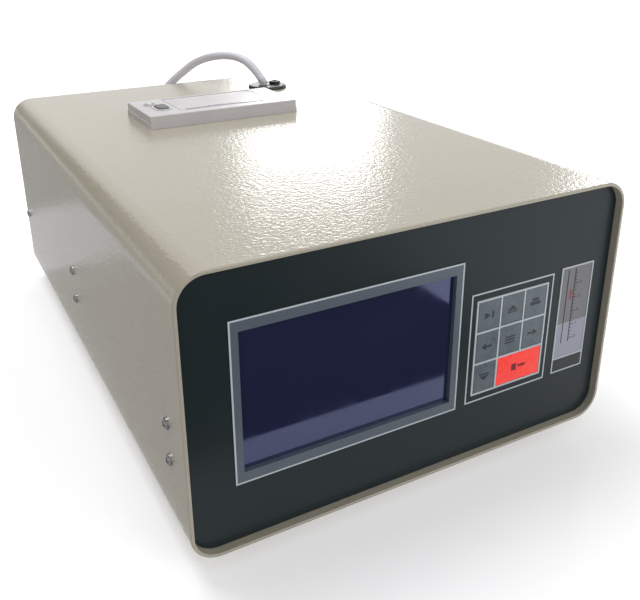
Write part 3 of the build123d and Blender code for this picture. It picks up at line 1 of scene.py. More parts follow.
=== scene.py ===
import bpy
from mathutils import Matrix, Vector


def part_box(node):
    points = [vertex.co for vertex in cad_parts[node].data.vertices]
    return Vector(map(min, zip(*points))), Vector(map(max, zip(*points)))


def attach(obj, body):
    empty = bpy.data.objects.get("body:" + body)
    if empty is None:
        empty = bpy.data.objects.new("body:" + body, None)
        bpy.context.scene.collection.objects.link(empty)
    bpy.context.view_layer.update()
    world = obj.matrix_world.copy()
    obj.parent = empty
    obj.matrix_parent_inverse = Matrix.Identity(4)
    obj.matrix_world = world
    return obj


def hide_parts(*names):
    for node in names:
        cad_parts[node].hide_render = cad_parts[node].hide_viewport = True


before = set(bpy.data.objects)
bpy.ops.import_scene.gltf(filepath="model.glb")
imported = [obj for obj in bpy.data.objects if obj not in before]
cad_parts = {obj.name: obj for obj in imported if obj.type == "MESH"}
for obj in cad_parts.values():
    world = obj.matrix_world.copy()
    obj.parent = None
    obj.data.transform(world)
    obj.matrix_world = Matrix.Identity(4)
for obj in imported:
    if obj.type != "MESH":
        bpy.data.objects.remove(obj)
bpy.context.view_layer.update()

import math

import bmesh
import bpy
from mathutils import Matrix, Vector
from mathutils.bvhtree import BVHTree

mm = 0.001
print("frame loaded:", len(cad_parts), "nodes")


# Nodes and materials

def fromHex(text):
    parts = [int(text[i:i + 2], 16) / 255 for i in (1, 3, 5)]
    linear = [c / 12.92 if c <= 0.04045 else ((c + 0.055) / 1.055) ** 2.4 for c in parts]
    return (*linear, 1)


def darker(color, share):
    return (*[share * c for c in color[:3]], 1)


def addNode(tree, kind, inputs=None, **settings):
    # a socket given as an input is linked, any other value is set
    node = kind if isinstance(kind, bpy.types.Node) else tree.nodes.new(kind)
    for name, value in settings.items():
        setattr(node, name, value)
    for name, value in (inputs or {}).items():
        if isinstance(value, bpy.types.NodeSocket):
            tree.links.new(value, node.inputs[name])
        else:
            node.inputs[name].default_value = value
    return node


def newMaterial(name):
    material = bpy.data.materials.new(name)
    material.use_nodes = True
    tree = material.node_tree
    place = addNode(tree, "ShaderNodeTexCoord").outputs["Object"]
    return material, tree, tree.nodes["Principled BSDF"], place


def perMetre(size):
    # the scale of a texture whose features are this many millimetres apart
    return 1 / (size * mm)


paint = {
    "color": "#bdb6a6",
    "faded": "#b9b2a0",
    "patch": 70,  # mm
    "peel": 2.0,  # mm between the orange peel's bumps, drawn a little coarse so that it shows
    "peelDepth": 0.22,  # mm
    "roughness": (0.14, 0.22),
}


def makePaint():
    # polyester powder coat, sprayed and baked: orange peel that breaks a highlight into sparkle
    material, tree, shader, place = newMaterial("powderCoatBeige")
    patches = addNode(
        tree, "ShaderNodeTexNoise", {"Vector": place, "Scale": perMetre(paint["patch"])}
    )
    tone = addNode(
        tree, "ShaderNodeMix",
        {"Factor": patches.outputs["Fac"], "A": fromHex(paint["color"]),
         "B": fromHex(paint["faded"])},
        data_type="RGBA",
    )
    peel = addNode(
        tree, "ShaderNodeTexNoise",
        {"Vector": place, "Scale": perMetre(paint["peel"]), "Detail": 1.5, "Roughness": 0.55},
    )
    gloss = addNode(
        tree, "ShaderNodeMapRange",
        {"Value": peel.outputs["Fac"], "From Min": 0.3, "From Max": 0.7,
         "To Min": paint["roughness"][0], "To Max": paint["roughness"][1]},
    )
    relief = addNode(
        tree, "ShaderNodeBump",
        {"Height": peel.outputs["Fac"], "Strength": 1.0, "Distance": paint["peelDepth"] * mm},
    )
    addNode(
        tree, shader,
        {"Base Color": tone.outputs["Result"], "Roughness": gloss.outputs["Result"],
         "Normal": relief.outputs["Normal"], "IOR": 1.5},
    )
    return material


film = {
    "color": "#242e31",
    "grain": 0.6,  # mm
    "roughness": (0.3, 0.38),
}


def makeFilm():
    # polyester film printed black on its back: satin, with a fine velvet grain on its face
    material, tree, shader, place = newMaterial("printedPolyesterFilm")
    grain = addNode(
        tree, "ShaderNodeTexNoise", {"Vector": place, "Scale": perMetre(film["grain"])}
    )
    wear = addNode(tree, "ShaderNodeTexNoise", {"Vector": place, "Scale": perMetre(40)})
    gloss = addNode(
        tree, "ShaderNodeMapRange",
        {"Value": wear.outputs["Fac"], "From Min": 0.3, "From Max": 0.7,
         "To Min": film["roughness"][0], "To Max": film["roughness"][1]},
    )
    relief = addNode(
        tree, "ShaderNodeBump",
        {"Height": grain.outputs["Fac"], "Strength": 0.3, "Distance": 0.01 * mm},
    )
    addNode(
        tree, shader,
        {"Base Color": fromHex(film["color"]), "Roughness": gloss.outputs["Result"],
         "Normal": relief.outputs["Normal"], "IOR": 1.5, "Specular IOR Level": 0.22},
    )
    return material


def makeMoulding(name, color, roughness=0.42, grain=0.8, depth=0.012):
    # injection-moulded plastic: spark-eroded grain, and gloss that drifts slowly across it
    material, tree, shader, place = newMaterial(name)
    flow = addNode(
        tree, "ShaderNodeTexNoise", {"Vector": place, "Scale": perMetre(18), "Detail": 2.0}
    )
    tone = addNode(
        tree, "ShaderNodeMix",
        {"Factor": flow.outputs["Fac"], "A": fromHex(color), "B": darker(fromHex(color), 0.88)},
        data_type="RGBA",
    )
    gloss = addNode(
        tree, "ShaderNodeMapRange",
        {"Value": flow.outputs["Fac"], "From Min": 0.3, "From Max": 0.7,
         "To Min": roughness - 0.05, "To Max": roughness + 0.05},
    )
    pits = addNode(
        tree, "ShaderNodeTexNoise", {"Vector": place, "Scale": perMetre(grain), "Detail": 2.0}
    )
    relief = addNode(
        tree, "ShaderNodeBump",
        {"Height": pits.outputs["Fac"], "Strength": 0.6, "Distance": depth * mm},
    )
    addNode(
        tree, shader,
        {"Base Color": tone.outputs["Result"], "Roughness": gloss.outputs["Result"],
         "Normal": relief.outputs["Normal"], "IOR": 1.53},
    )
    return material


def makeInk(name, color, roughness=0.45):
    # screen-printed ink: flat, with pinholes that take a little off its evenness
    material, tree, shader, place = newMaterial(name)
    mottle = addNode(
        tree, "ShaderNodeTexNoise", {"Vector": place, "Scale": perMetre(1.2), "Detail": 3.0}
    )
    tone = addNode(
        tree, "ShaderNodeMix",
        {"Factor": mottle.outputs["Fac"], "A": fromHex(color), "B": darker(fromHex(color), 0.8)},
        data_type="RGBA",
    )
    addNode(
        tree, shader, {"Base Color": tone.outputs["Result"], "Roughness": roughness, "IOR": 1.48}
    )
    return material


def makeKeyFilm(name, color, light, glow):
    # soft-touch key caps: colour printed under a thin clear skin, cloudy from handling; the
    # emission in the key's own colour is painted brightness, as the keys hold no lamp
    material, tree, shader, place = newMaterial(name)
    cloud = addNode(
        tree, "ShaderNodeTexNoise", {"Vector": place, "Scale": perMetre(7), "Detail": 3.0}
    )
    share = addNode(
        tree, "ShaderNodeMapRange",
        {"Value": cloud.outputs["Fac"], "From Min": 0.38, "From Max": 0.62},
    )
    tone = addNode(
        tree, "ShaderNodeMix",
        {"Factor": share.outputs["Result"], "A": fromHex(color), "B": fromHex(light)},
        data_type="RGBA",
    )
    gloss = addNode(
        tree, "ShaderNodeMapRange",
        {"Value": cloud.outputs["Fac"], "From Min": 0.3, "From Max": 0.7,
         "To Min": 0.24, "To Max": 0.36},
    )
    addNode(
        tree, shader,
        {"Base Color": tone.outputs["Result"], "Roughness": gloss.outputs["Result"], "IOR": 1.5,
         "Emission Color": fromHex(color), "Emission Strength": glow},
    )
    return material


def makeAcrylic(name, color, clearness, roughness):
    # cast acrylic: clear with a tint, polished, with the faint waves of a worked sheet
    material, tree, shader, place = newMaterial(name)
    waves = addNode(
        tree, "ShaderNodeTexNoise", {"Vector": place, "Scale": perMetre(14), "Detail": 1.0}
    )
    tone = addNode(
        tree, "ShaderNodeMix",
        {"Factor": waves.outputs["Fac"], "A": fromHex(color), "B": darker(fromHex(color), 0.82)},
        data_type="RGBA",
    )
    relief = addNode(
        tree, "ShaderNodeBump",
        {"Height": waves.outputs["Fac"], "Strength": 0.15, "Distance": 0.02 * mm},
    )
    addNode(
        tree, shader,
        {"Base Color": tone.outputs["Result"], "Roughness": roughness, "IOR": 1.49,
         "Transmission Weight": clearness, "Normal": relief.outputs["Normal"]},
    )
    return material


window = {
    "tint": "#2a2e4e",
    "deep": "#333858",
    "coat": "#bcc8ff",  # what the coating adds to a reflection
    "clearness": 0.25,
}


def makeWindow():
    # tinted acrylic with a hard coat: deep blue, its reflections a little violet
    material, tree, shader, place = newMaterial("coatedTintedWindow")
    drift = addNode(
        tree, "ShaderNodeTexNoise", {"Vector": place, "Scale": perMetre(55), "Detail": 1.0}
    )
    tone = addNode(
        tree, "ShaderNodeMix",
        {"Factor": drift.outputs["Fac"], "A": fromHex(window["tint"]),
         "B": fromHex(window["deep"])},
        data_type="RGBA",
    )
    smear = addNode(
        tree, "ShaderNodeTexNoise", {"Vector": place, "Scale": perMetre(9), "Detail": 3.0}
    )
    gloss = addNode(
        tree, "ShaderNodeMapRange",
        {"Value": smear.outputs["Fac"], "From Min": 0.4, "From Max": 0.7,
         "To Min": 0.04, "To Max": 0.09},
    )
    addNode(
        tree, shader,
        {"Base Color": tone.outputs["Result"], "Roughness": gloss.outputs["Result"], "IOR": 2.0,
         "Specular Tint": fromHex(window["coat"]), "Transmission Weight": window["clearness"]},
    )
    return material


def makeMetal(name, color, roughness=0.3, grain=1.6):
    # turned, drawn or rolled metal: an even sheen over fine lines along its grain
    material, tree, shader, place = newMaterial(name)
    drawn = addNode(tree, "ShaderNodeMapping", {"Vector": place, "Scale": (1, 1, 8)})
    lines = addNode(
        tree, "ShaderNodeTexNoise",
        {"Vector": drawn.outputs["Vector"], "Scale": perMetre(grain), "Detail": 3.0},
    )
    gloss = addNode(
        tree, "ShaderNodeMapRange",
        {"Value": lines.outputs["Fac"], "From Min": 0.3, "From Max": 0.7,
         "To Min": roughness - 0.08, "To Max": roughness + 0.08},
    )
    relief = addNode(
        tree, "ShaderNodeBump",
        {"Height": lines.outputs["Fac"], "Strength": 0.4, "Distance": 0.01 * mm},
    )
    addNode(
        tree, shader,
        {"Base Color": fromHex(color), "Metallic": 1.0, "Roughness": gloss.outputs["Result"],
         "Normal": relief.outputs["Normal"]},
    )
    return material


def makeRubber(name, color, roughness=0.6):
    # moulded rubber: matt, with a bloom that greys it in patches
    material, tree, shader, place = newMaterial(name)
    bloom = addNode(
        tree, "ShaderNodeTexNoise", {"Vector": place, "Scale": perMetre(5), "Detail": 3.0}
    )
    tone = addNode(
        tree, "ShaderNodeMix",
        {"Factor": bloom.outputs["Fac"], "A": darker(fromHex(color), 0.8), "B": fromHex(color)},
        data_type="RGBA",
    )
    relief = addNode(
        tree, "ShaderNodeBump",
        {"Height": bloom.outputs["Fac"], "Strength": 0.4, "Distance": 0.02 * mm},
    )
    addNode(
        tree, shader,
        {"Base Color": tone.outputs["Result"], "Roughness": roughness, "IOR": 1.52,
         "Normal": relief.outputs["Normal"]},
    )
    return material


def makeVinyl():
    # extruded soft vinyl: milky, softly glossy, letting some light through its wall
    material, tree, shader, place = newMaterial("milkyVinyl")
    streak = addNode(
        tree, "ShaderNodeTexNoise", {"Vector": place, "Scale": perMetre(16), "Detail": 2.0}
    )
    tone = addNode(
        tree, "ShaderNodeMix",
        {"Factor": streak.outputs["Fac"], "A": fromHex("#e4e3ea"), "B": fromHex("#d8d6e0")},
        data_type="RGBA",
    )
    relief = addNode(
        tree, "ShaderNodeBump",
        {"Height": streak.outputs["Fac"], "Strength": 0.2, "Distance": 0.05 * mm},
    )
    addNode(
        tree, shader,
        {"Base Color": tone.outputs["Result"], "Roughness": 0.34, "IOR": 1.52,
         "Subsurface Weight": 0.15,
         "Subsurface Scale": 2 * mm, "Normal": relief.outputs["Normal"]},
    )
    return material


def makeBoard():
    # solder mask over copper: tracks show as a paler green in rows
    material, tree, shader, place = newMaterial("solderMaskGreen")
    tracks = addNode(
        tree, "ShaderNodeTexBrick",
        {"Vector": place, "Scale": perMetre(9), "Mortar Size": 0.06, "Color1": fromHex("#1f4a30"),
         "Color2": fromHex("#22503a"), "Mortar": fromHex("#2f6a45")},
    )
    addNode(tree, shader, {"Base Color": tracks.outputs["Color"], "Roughness": 0.35, "IOR": 1.5})
    return material


finish = {
    "paint": makePaint(),
    "film": makeFilm(),
    "bezel": makeMoulding("satinAbsBlueGrey", "#5c6874", 0.38),
    "window": makeWindow(),
    "display": makeMoulding("displayPolariser", "#171a2c", 0.3, 2.0, 0.002),
    "meterBlock": makeAcrylic("castAcrylicBlock", "#929296", 0.3, 0.08),
    "clear": makeAcrylic("clearPolycarbonate", "#dfe4e8", 0.9, 0.06),
    "white": makeInk("whiteInk", "#d3dbe0"),
    "darkInk": makeInk("darkGreyInk", "#232c31"),
    "labelInk": makeInk("labelBlackInk", "#1b1f23"),
    "paleInk": makeInk("paleVioletInk", "#adaebf"),
    "redInk": makeInk("redInk", "#a8323a"),
    "deepRedInk": makeInk("deepRedInk", "#7c1c16"),
    "gridWhite": makeMoulding("whiteAbs", "#cdd6dc", 0.4),
    "greyKey": makeKeyFilm("greyKeySkin", "#56636a", "#646f79", 0.0),
    # the red key glows a little: painted brightness, there is no lamp in it
    "redKey": makeKeyFilm("redKeySkin", "#f5352c", "#fa4a3d", 0.32),
    "silicone": makeRubber("siliconeSheet", "#b9bcbd", 0.5),
    "board": makeBoard(),
    "scale": makeMoulding("satinScalePlate", "#85878b", 0.5),
    "float": makeMetal("turnedStainless", "#a9abad", 0.22),
    "brass": makeMetal("turnedBrass", "#c2a25a", 0.28),
    "printer": makeMoulding("lightGreyAbs", "#d8d4d7", 0.36, 1.0, 0.015),
    "darkKey": makeMoulding("darkGreyAbs", "#55575c", 0.35),
    "lamp": makeMoulding("diffusedLens", "#dfe8e0", 0.25, 1.5, 0.004),
    "steel": makeMetal("zincPlatedSteel", "#a9aaac", 0.32),
    "sheet": makeMetal("zincPlatedSheet", "#a6a8aa", 0.36, 3.0),
    "nylon": makeMoulding("blackNylon", "#191b1d", 0.4),
    "rubber": makeRubber("blackRubber", "#222324"),
    "acetal": makeMoulding("greyAcetal", "#9a9ea5", 0.3),
    "paleNylon": makeMoulding("naturalNylon", "#cfd0d4", 0.32),
    "vinyl": makeVinyl(),
    "aluminium": makeMetal("machinedAluminium", "#c2c4c6", 0.28),
    "anodised": makeMoulding("blackAnodising", "#17181a", 0.45, 0.4, 0.004),
}

nodeFinish = {
    "paint": ["outer_sleeve", "rear_panel"],
    "film": ["front_overlay"],
    "sheet": ["front_panel", "chassis_tray"],
    "bezel": ["lcd_bezel"],
    "window": ["lcd_cover"],
    "display": ["lcd_glass"],
    "meterBlock": ["meter_body"],
    "clear": ["exhaust_filter"],
    "board": ["lcd_board", "keypad_board", "printer_key_board", "main_board",
              "power_supply", "detector_board"],
    "gridWhite": ["keypad_grid", "meter_frame"],
    "greyKey": [f"key_{number}" for number in range(1, 8)],
    "redKey": ["key_8"],
    "silicone": ["keypad_mat"],
    "scale": ["meter_scale"],
    "float": ["meter_float"],
    "brass": ["meter_nipples", "mains_pins", "exhaust_port"],
    "printer": ["printer_bezel", "printer_door", "paper_bay"],
    "darkKey": ["printer_feed_key"],
    "lamp": ["printer_lamp"],
    "steel": ["foot_screws", "side_screws", "panel_screws", "printer_hinge_pin", "print_mechanism",
              "serial_port", "inlet_tube"],
    "nylon": ["inlet_port", "inlet_nut", "port_plug", "mains_inlet", "switch_frame",
              "power_rocker", "fuse_holder", "air_pump"],
    "rubber": ["feet", "platen_roller"],
    "acetal": ["rear_elbow"],
    "paleNylon": ["inlet_nipple"],
    "aluminium": ["optical_sensor"],
    "anodised": ["laser_module", "light_trap"],
}


def dressNodes():
    for key, names in nodeFinish.items():
        for name in names:
            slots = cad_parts[name].data.materials
            slots.clear()
            slots.append(finish[key])


dressNodes()
print("materials ready:", len(finish))


# Camera: in front, to the left and above

shot = {
    "place": (-196.63, -435.81, 264.97),  # mm
    "azimuth": -27.808,
    "elevation": 21.589,
    "roll": -0.672,
    "focal": 777.45,  # in pixels of a picture 640 wide and 600 high
    "centre": (305.49, 233.89),
    "picture": (640, 600),
}


def makeCamera():
    data = bpy.data.cameras.new("camera")
    camera = bpy.data.objects.new("camera", data)
    bpy.context.collection.objects.link(camera)
    width, height = shot["picture"]
    data.sensor_width = 36
    data.lens = shot["focal"] / width * data.sensor_width
    data.shift_x = (width / 2 - shot["centre"][0]) / width
    data.shift_y = (shot["centre"][1] - height / 2) / width
    turn, rise, roll = [math.radians(shot[key]) for key in ("azimuth", "elevation", "roll")]
    back = Vector((
        math.sin(turn) * math.cos(rise), -math.cos(turn) * math.cos(rise), math.sin(rise)
    ))
    right = (-back).cross(Vector((0, 0, 1))).normalized()
    level = Matrix((right, right.cross(-back), back)).transposed()
    turned = (level @ Matrix.Rotation(roll, 3, "Z")).to_4x4()
    camera.matrix_world = Matrix.Translation(Vector(shot["place"]) * mm) @ turned
    data.clip_start = 0.01
    bpy.context.scene.camera = camera


makeCamera()


# Sampling hose: out of the inlet, over the rear edge and down into the elbow

hose = {  # mm
    "route": [
        (64.6, 130.1, 150.85),
        (61.7, 141.7, 161.3625),
        (54.6, 156.2, 167.6),
        (42.4, 170.9, 167.3),
        (29.5, 183.2, 162.0),
        (18.8, 191.5, 151.9),
        (7.0, 196.3, 141.4),
        (-3.1, 196.9, 128.6),
        (-9.895, 196.0, 114.86),
        (-12.7, 196.0, 101.6),
    ],
    "diameter": 6.5,
    "length": 148.5,
}


def makeHose():
    curve = bpy.data.curves.new("samplingHose", "CURVE")
    curve.dimensions = "3D"
    curve.bevel_depth = hose["diameter"] / 2 * mm
    curve.bevel_resolution = 8
    curve.resolution_u = 16
    curve.use_fill_caps = True
    spline = curve.splines.new("NURBS")
    spline.points.add(len(hose["route"]) - 1)
    for point, place in zip(spline.points, hose["route"]):
        point.co = (*[value * mm for value in place], 1)
    spline.order_u = 3
    spline.use_endpoint_u = True
    curve.materials.append(finish["vinyl"])
    piece = bpy.data.objects.new("samplingHose", curve)
    bpy.context.collection.objects.link(piece)
    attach(piece, "case")
    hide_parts("sampling_hose")


makeHose()
print("hose made")


# Helpers for what is printed or laid on a face

def placePiece(name, mesh, body):
    piece = bpy.data.objects.new(name, mesh)
    bpy.context.collection.objects.link(piece)
    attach(piece, body)


def addPiece(name, form, material, body):
    mesh = bpy.data.meshes.new(name)
    bmesh.ops.recalc_face_normals(form, faces=form.faces)
    form.to_mesh(mesh)
    form.free()
    mesh.materials.append(material)
    placePiece(name, mesh, body)


def bakeMesh(carrier):
    # the plain mesh that a text or a modifier gives
    graph = bpy.context.evaluated_depsgraph_get()
    return bpy.data.meshes.new_from_object(carrier.evaluated_get(graph))


def addPrint(form, outline, face, ink):
    # an (x, z) outline in metres, as a layer of ink in front of a face that looks along -Y
    front = [form.verts.new((x, face - ink, z)) for x, z in outline]
    back = [form.verts.new((x, face, z)) for x, z in outline]
    form.faces.new(front)
    form.faces.new(back[::-1])
    for i in range(len(outline)):
        j = (i + 1) % len(outline)
        form.faces.new((front[i], back[i], back[j], front[j]))


def rectangle(x, z, width, height):
    left, right = x - width / 2, x + width / 2
    low, high = z - height / 2, z + height / 2
    return [(left, low), (right, low), (right, high), (left, high)]


def addBorder(form, outer, line, face, ink):
    # four mitred strips inside a rectangle of (x, z, width, height)
    x, z, width, height = outer
    edge = rectangle(x, z, width, height)
    inside = rectangle(x, z, width - 2 * line, height - 2 * line)
    for i in range(4):
        j = (i + 1) % 4
        addPrint(form, [edge[i], edge[j], inside[j], inside[i]], face, ink)


def spanOf(names):
    # middle, size and lowest corner of several nodes together
    corners = [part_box(name) for name in names]
    low = Vector([min(pair[0][i] for pair in corners) for i in range(3)])
    high = Vector([max(pair[1][i] for pair in corners) for i in range(3)])
    return (low + high) / 2, high - low, low


# White lines printed round the display and the keypad

panelPrint = {  # mm
    "ink": 0.04,  # how far a layer of ink stands out
    "line": 0.8,
    "keypadBorder": (52.55, 61.1),
}


def makePanelPrint():
    form = bmesh.new()
    ink = panelPrint["ink"] * mm
    line = panelPrint["line"] * mm
    middle = spanOf(["key_3", "key_7"])[0]
    width, height = [value * mm for value in panelPrint["keypadBorder"]]
    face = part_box("front_overlay")[0].y
    addBorder(form, (middle.x, middle.z, width, height), line, face, ink)
    middle, size, low = spanOf(["lcd_bezel"])
    addBorder(form, (middle.x, middle.z, size.x, size.z), line, low.y, ink)
    addPiece("panelPrint", form, finish["white"], "case")


makePanelPrint()
print("panel print made")


# Flow meter: printed front face of the acrylic block, with painted shade for the bore's edges

meterPrint = {  # mm
    "ink": 0.04,
    "strip": (0.8, 7.2),  # side margin and height of the bare label strip
    "paleTop": 70.0,  # height where the paler lower part ends
    "paleBottom": 49.6,
    "paleWidth": 20.3,
    "boreEdgeShade": (-2.55, 2.35),  # painted shade: dark lines for the bore's walls seen through the block, either side of the bore, from its middle
    "lineWidth": 0.55,
    "lineSpan": (58.0, 100.6),
    "redMark": (1.3, 5.2, 86.0),  # width, height and place
    "redShift": 0.4,  # from the bore's middle
    "tickStart": 60.0,
    "tickStep": 2.0,
    "ticks": 20,
    "tick": (1.7, 0.3),
    "longTick": (2.8, 0.4),
    "longStep": 8.0,
    "longTicks": 5,
    "numberSize": 2.5,
    "numberGap": 0.9,  # from the end of its tick
}


def openTree(name, kinds):
    # an empty tree with named inputs and one output
    tree = bpy.data.node_groups.new(name, "GeometryNodeTree")
    sockets = {}
    for label, kind in kinds.items():
        made = tree.interface.new_socket(label, in_out="INPUT", socket_type="NodeSocket" + kind)
        sockets[label] = made.identifier
    tree.interface.new_socket("Geometry", in_out="OUTPUT", socket_type="NodeSocketGeometry")
    return tree, sockets, addNode(tree, "NodeGroupInput").outputs


def closeTree(tree, boxes, material):
    # makes the placed boxes real, gives them their material and hands them out
    real = addNode(tree, "GeometryNodeRealizeInstances", {"Geometry": boxes})
    dressed = addNode(
        tree, "GeometryNodeSetMaterial",
        {"Geometry": real.outputs["Geometry"], "Material": material},
    )
    addNode(tree, "NodeGroupOutput", {"Geometry": dressed.outputs["Geometry"]})


def rowTree():
    # boxes in a line, each turned alike
    kinds = {"Count": "Int", "Start": "Vector", "Step": "Vector", "Size": "Vector",
             "Turn": "Vector", "Finish": "Material"}
    tree, sockets, given = openTree("boxRow", kinds)
    line = addNode(
        tree, "GeometryNodeMeshLine",
        {"Count": given["Count"], "Start Location": given["Start"],
         "Offset": given["Step"]},
        mode="OFFSET",
    )
    box = addNode(tree, "GeometryNodeMeshCube", {"Size": given["Size"]})
    copies = addNode(
        tree, "GeometryNodeInstanceOnPoints",
        {"Points": line.outputs["Mesh"], "Instance": box.outputs["Mesh"],
         "Rotation": given["Turn"]},
    )
    closeTree(tree, copies.outputs["Instances"], given["Finish"])
    return tree, sockets


def ribTree():
    # boxes standing round a cap whose axis runs along Y
    kinds = {"Count": "Int", "Radius": "Float", "Size": "Vector", "Place": "Vector",
             "Finish": "Material"}
    tree, sockets, given = openTree("ribRing", kinds)
    ring = addNode(
        tree, "GeometryNodeMeshCircle", {"Vertices": given["Count"], "Radius": given["Radius"]}
    )
    step = addNode(tree, "ShaderNodeMath", {0: math.tau, 1: given["Count"]}, operation="DIVIDE")
    index = addNode(tree, "GeometryNodeInputIndex")
    angle = addNode(
        tree, "ShaderNodeMath", {0: index.outputs["Index"], 1: step.outputs[0]},
        operation="MULTIPLY",
    )
    turn = addNode(tree, "ShaderNodeCombineXYZ", {"Z": angle.outputs[0]})
    box = addNode(tree, "GeometryNodeMeshCube", {"Size": given["Size"]})
    copies = addNode(
        tree, "GeometryNodeInstanceOnPoints",
        {"Points": ring.outputs["Mesh"], "Instance": box.outputs["Mesh"],
         "Rotation": turn.outputs[0]},
    )
    laid = addNode(
        tree, "GeometryNodeTransform",
        {"Geometry": copies.outputs["Instances"], "Translation": given["Place"],
         "Rotation": (math.pi / 2, 0, 0)},
    )
    closeTree(tree, laid.outputs["Geometry"], given["Finish"])
    return tree, sockets


def growPiece(name, made, values, body):
    # runs a tree once and keeps the plain mesh that it gives
    tree, sockets = made
    carrier = bpy.data.objects.new(name + "Carrier", bpy.data.meshes.new(name + "Carrier"))
    bpy.context.collection.objects.link(carrier)
    modifier = carrier.modifiers.new("grow", "NODES")
    modifier.node_group = tree
    for key, value in values.items():
        modifier[sockets[key]] = value
    mesh = bakeMesh(carrier)
    carrier.modifiers.clear()
    bpy.data.objects.remove(carrier)
    placePiece(name, mesh, body)


boxRow = rowTree()
ribRing = ribTree()


def addNumber(form, text, x, z, height, face, ink):
    # a number as a thin solid, laid flat against a face that looks along -Y
    letters = bpy.data.curves.new("number", "FONT")
    letters.body = text
    letters.size = height
    letters.align_x, letters.align_y = "LEFT", "CENTER"
    letters.extrude = ink / 2
    carrier = bpy.data.objects.new("number", letters)
    bpy.context.collection.objects.link(carrier)
    mesh = bakeMesh(carrier)
    bpy.data.objects.remove(carrier)
    mesh.transform(
        Matrix.Translation((x, face - ink / 2, z)) @ Matrix.Rotation(math.pi / 2, 4, "X")
    )
    form.from_mesh(mesh)
    bpy.data.meshes.remove(mesh)


def makeMeterPrint():
    ink = meterPrint["ink"] * mm
    frameLow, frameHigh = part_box("meter_frame")
    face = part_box("meter_body")[0].y
    mid = (frameLow + frameHigh) / 2
    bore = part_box("meter_float")
    boreX = (bore[0].x + bore[1].x) / 2

    lower = bmesh.new()
    low, high = meterPrint["paleBottom"] * mm, meterPrint["paleTop"] * mm
    outline = rectangle(mid.x, (low + high) / 2, meterPrint["paleWidth"] * mm, high - low)
    addPrint(lower, outline, face, ink)
    addPiece("meterLowerTint", lower, finish["paleInk"], "case")

    marks = bmesh.new()
    low, high = [value * mm for value in meterPrint["lineSpan"]]
    # the bore's edges are painted in as dark lines that stand for shade in the block; the numbers
    # below are print
    for shift in meterPrint["boreEdgeShade"]:
        place = boreX + shift * mm
        outline = rectangle(place, (low + high) / 2, meterPrint["lineWidth"] * mm, high - low)
        addPrint(marks, outline, face - ink, ink)
    edge = boreX + meterPrint["boreEdgeShade"][1] * mm
    start, size = meterPrint["tickStart"], meterPrint["numberSize"] * mm
    left = edge + meterPrint["longTick"][0] * mm + meterPrint["numberGap"] * mm
    for number in range(meterPrint["longTicks"]):
        height = (start + number * meterPrint["longStep"]) * mm
        addNumber(marks, str(number), left, height, size, face - ink, ink)
    addPiece("meterNumbersAndBoreShade", marks, finish["labelInk"], "case")

    red = bmesh.new()
    width, height, place = [value * mm for value in meterPrint["redMark"]]
    outline = rectangle(boreX + meterPrint["redShift"] * mm, place, width, height)
    addPrint(red, outline, face - ink, ink)
    addPiece("meterRedMark", red, finish["redInk"], "case")

    # boxes are placed by their middle, so half a layer more puts the ticks level with the lines
    for name, size, step, count in (
        ("meterTicks", meterPrint["tick"], meterPrint["tickStep"], meterPrint["ticks"]),
        ("meterLongTicks", meterPrint["longTick"], meterPrint["longStep"],
         meterPrint["longTicks"]),
    ):
        width, height = [value * mm for value in size]
        values = {
            "Count": count,
            "Start": (edge + width / 2, face - 1.5 * ink, start * mm),
            "Step": (0, 0, step * mm),
            "Size": (width, ink, height),
            "Turn": (0, 0, 0),
            "Finish": finish["labelInk"],
        }
        growPiece(name, boxRow, values, "case")

    strip = bmesh.new()
    margin, height = [value * mm for value in meterPrint["strip"]]
    width = frameHigh.x - frameLow.x - 2 * margin
    outline = rectangle(mid.x, frameLow.z + margin + height / 2, width, height)
    addPrint(strip, outline, frameLow.y, ink)
    addPiece("meterLabelStrip", strip, finish["labelInk"], "case")


makeMeterPrint()
print("flow meter print made")


# Keypad marks: one plain sign on each key, riding the key it is printed on

keyMarks = {  # mm, as (x, z) corners from the key's middle
    "ink": 0.04,
    "key_1": [[(-2.6, -1.9), (1.0, 0), (-2.6, 1.9)],
              [(1.9, -1.9), (2.9, -1.9), (2.9, 1.9), (1.9, 1.9)]],
    "key_2": [[(-3.0, -0.6), (0, 2.0), (3.0, -0.6)],
              [(-3.0, -2.0), (3.0, -2.0), (3.0, -1.2), (-3.0, -1.2)]],
    "key_3": [[(-3.2, -1.5), (3.2, -1.5), (3.2, 0.4), (-3.2, 0.4)],
              [(-2.1, 0.8), (2.1, 0.8), (2.1, 2.2), (-2.1, 2.2)]],
    "key_4": [[(-3.2, 0), (-0.2, -2.0), (-0.2, 2.0)],
              [(0.2, -0.6), (3.2, -0.6), (3.2, 0.6), (0.2, 0.6)]],
    "key_5": [[(-3.2, level - 0.4), (3.2, level - 0.4), (3.2, level + 0.4), (-3.2, level + 0.4)]
              for level in (-1.6, 0, 1.6)],
    "key_6": [[(3.2, 0), (0.2, 2.0), (0.2, -2.0)],
              [(-3.2, -0.6), (-0.2, -0.6), (-0.2, 0.6), (-3.2, 0.6)]],
    "key_7": [[(-3.0, 0.6), (0, -2.0), (3.0, 0.6)],
              [(-3.0, 1.2), (3.0, 1.2), (3.0, 2.0), (-3.0, 2.0)]],
    "key_8": [[(-4.6, -2.0), (-1.4, -2.0), (-1.4, 2.0), (-4.6, 2.0)],
              [(-0.4, -0.7), (4.6, -0.7), (4.6, 0.7), (-0.4, 0.7)]],
}


def makeKeyMarks():
    for number in range(1, 9):
        key = f"key_{number}"
        low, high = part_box(key)
        mid = (low + high) / 2
        form = bmesh.new()
        for sign in keyMarks[key]:
            outline = [(mid.x + x * mm, mid.z + z * mm) for x, z in sign]
            addPrint(form, outline, low.y, keyMarks["ink"] * mm)
        red = number == 8
        material = finish["deepRedInk"] if red else finish["darkInk"]
        addPiece(
            f"keyMark{number}", form, material, f"press_key_{number}",
        )


makeKeyMarks()
print("keypad marks made")


# Tear bar on the printer's door, and the ribbed grip of the fuse holder's cap

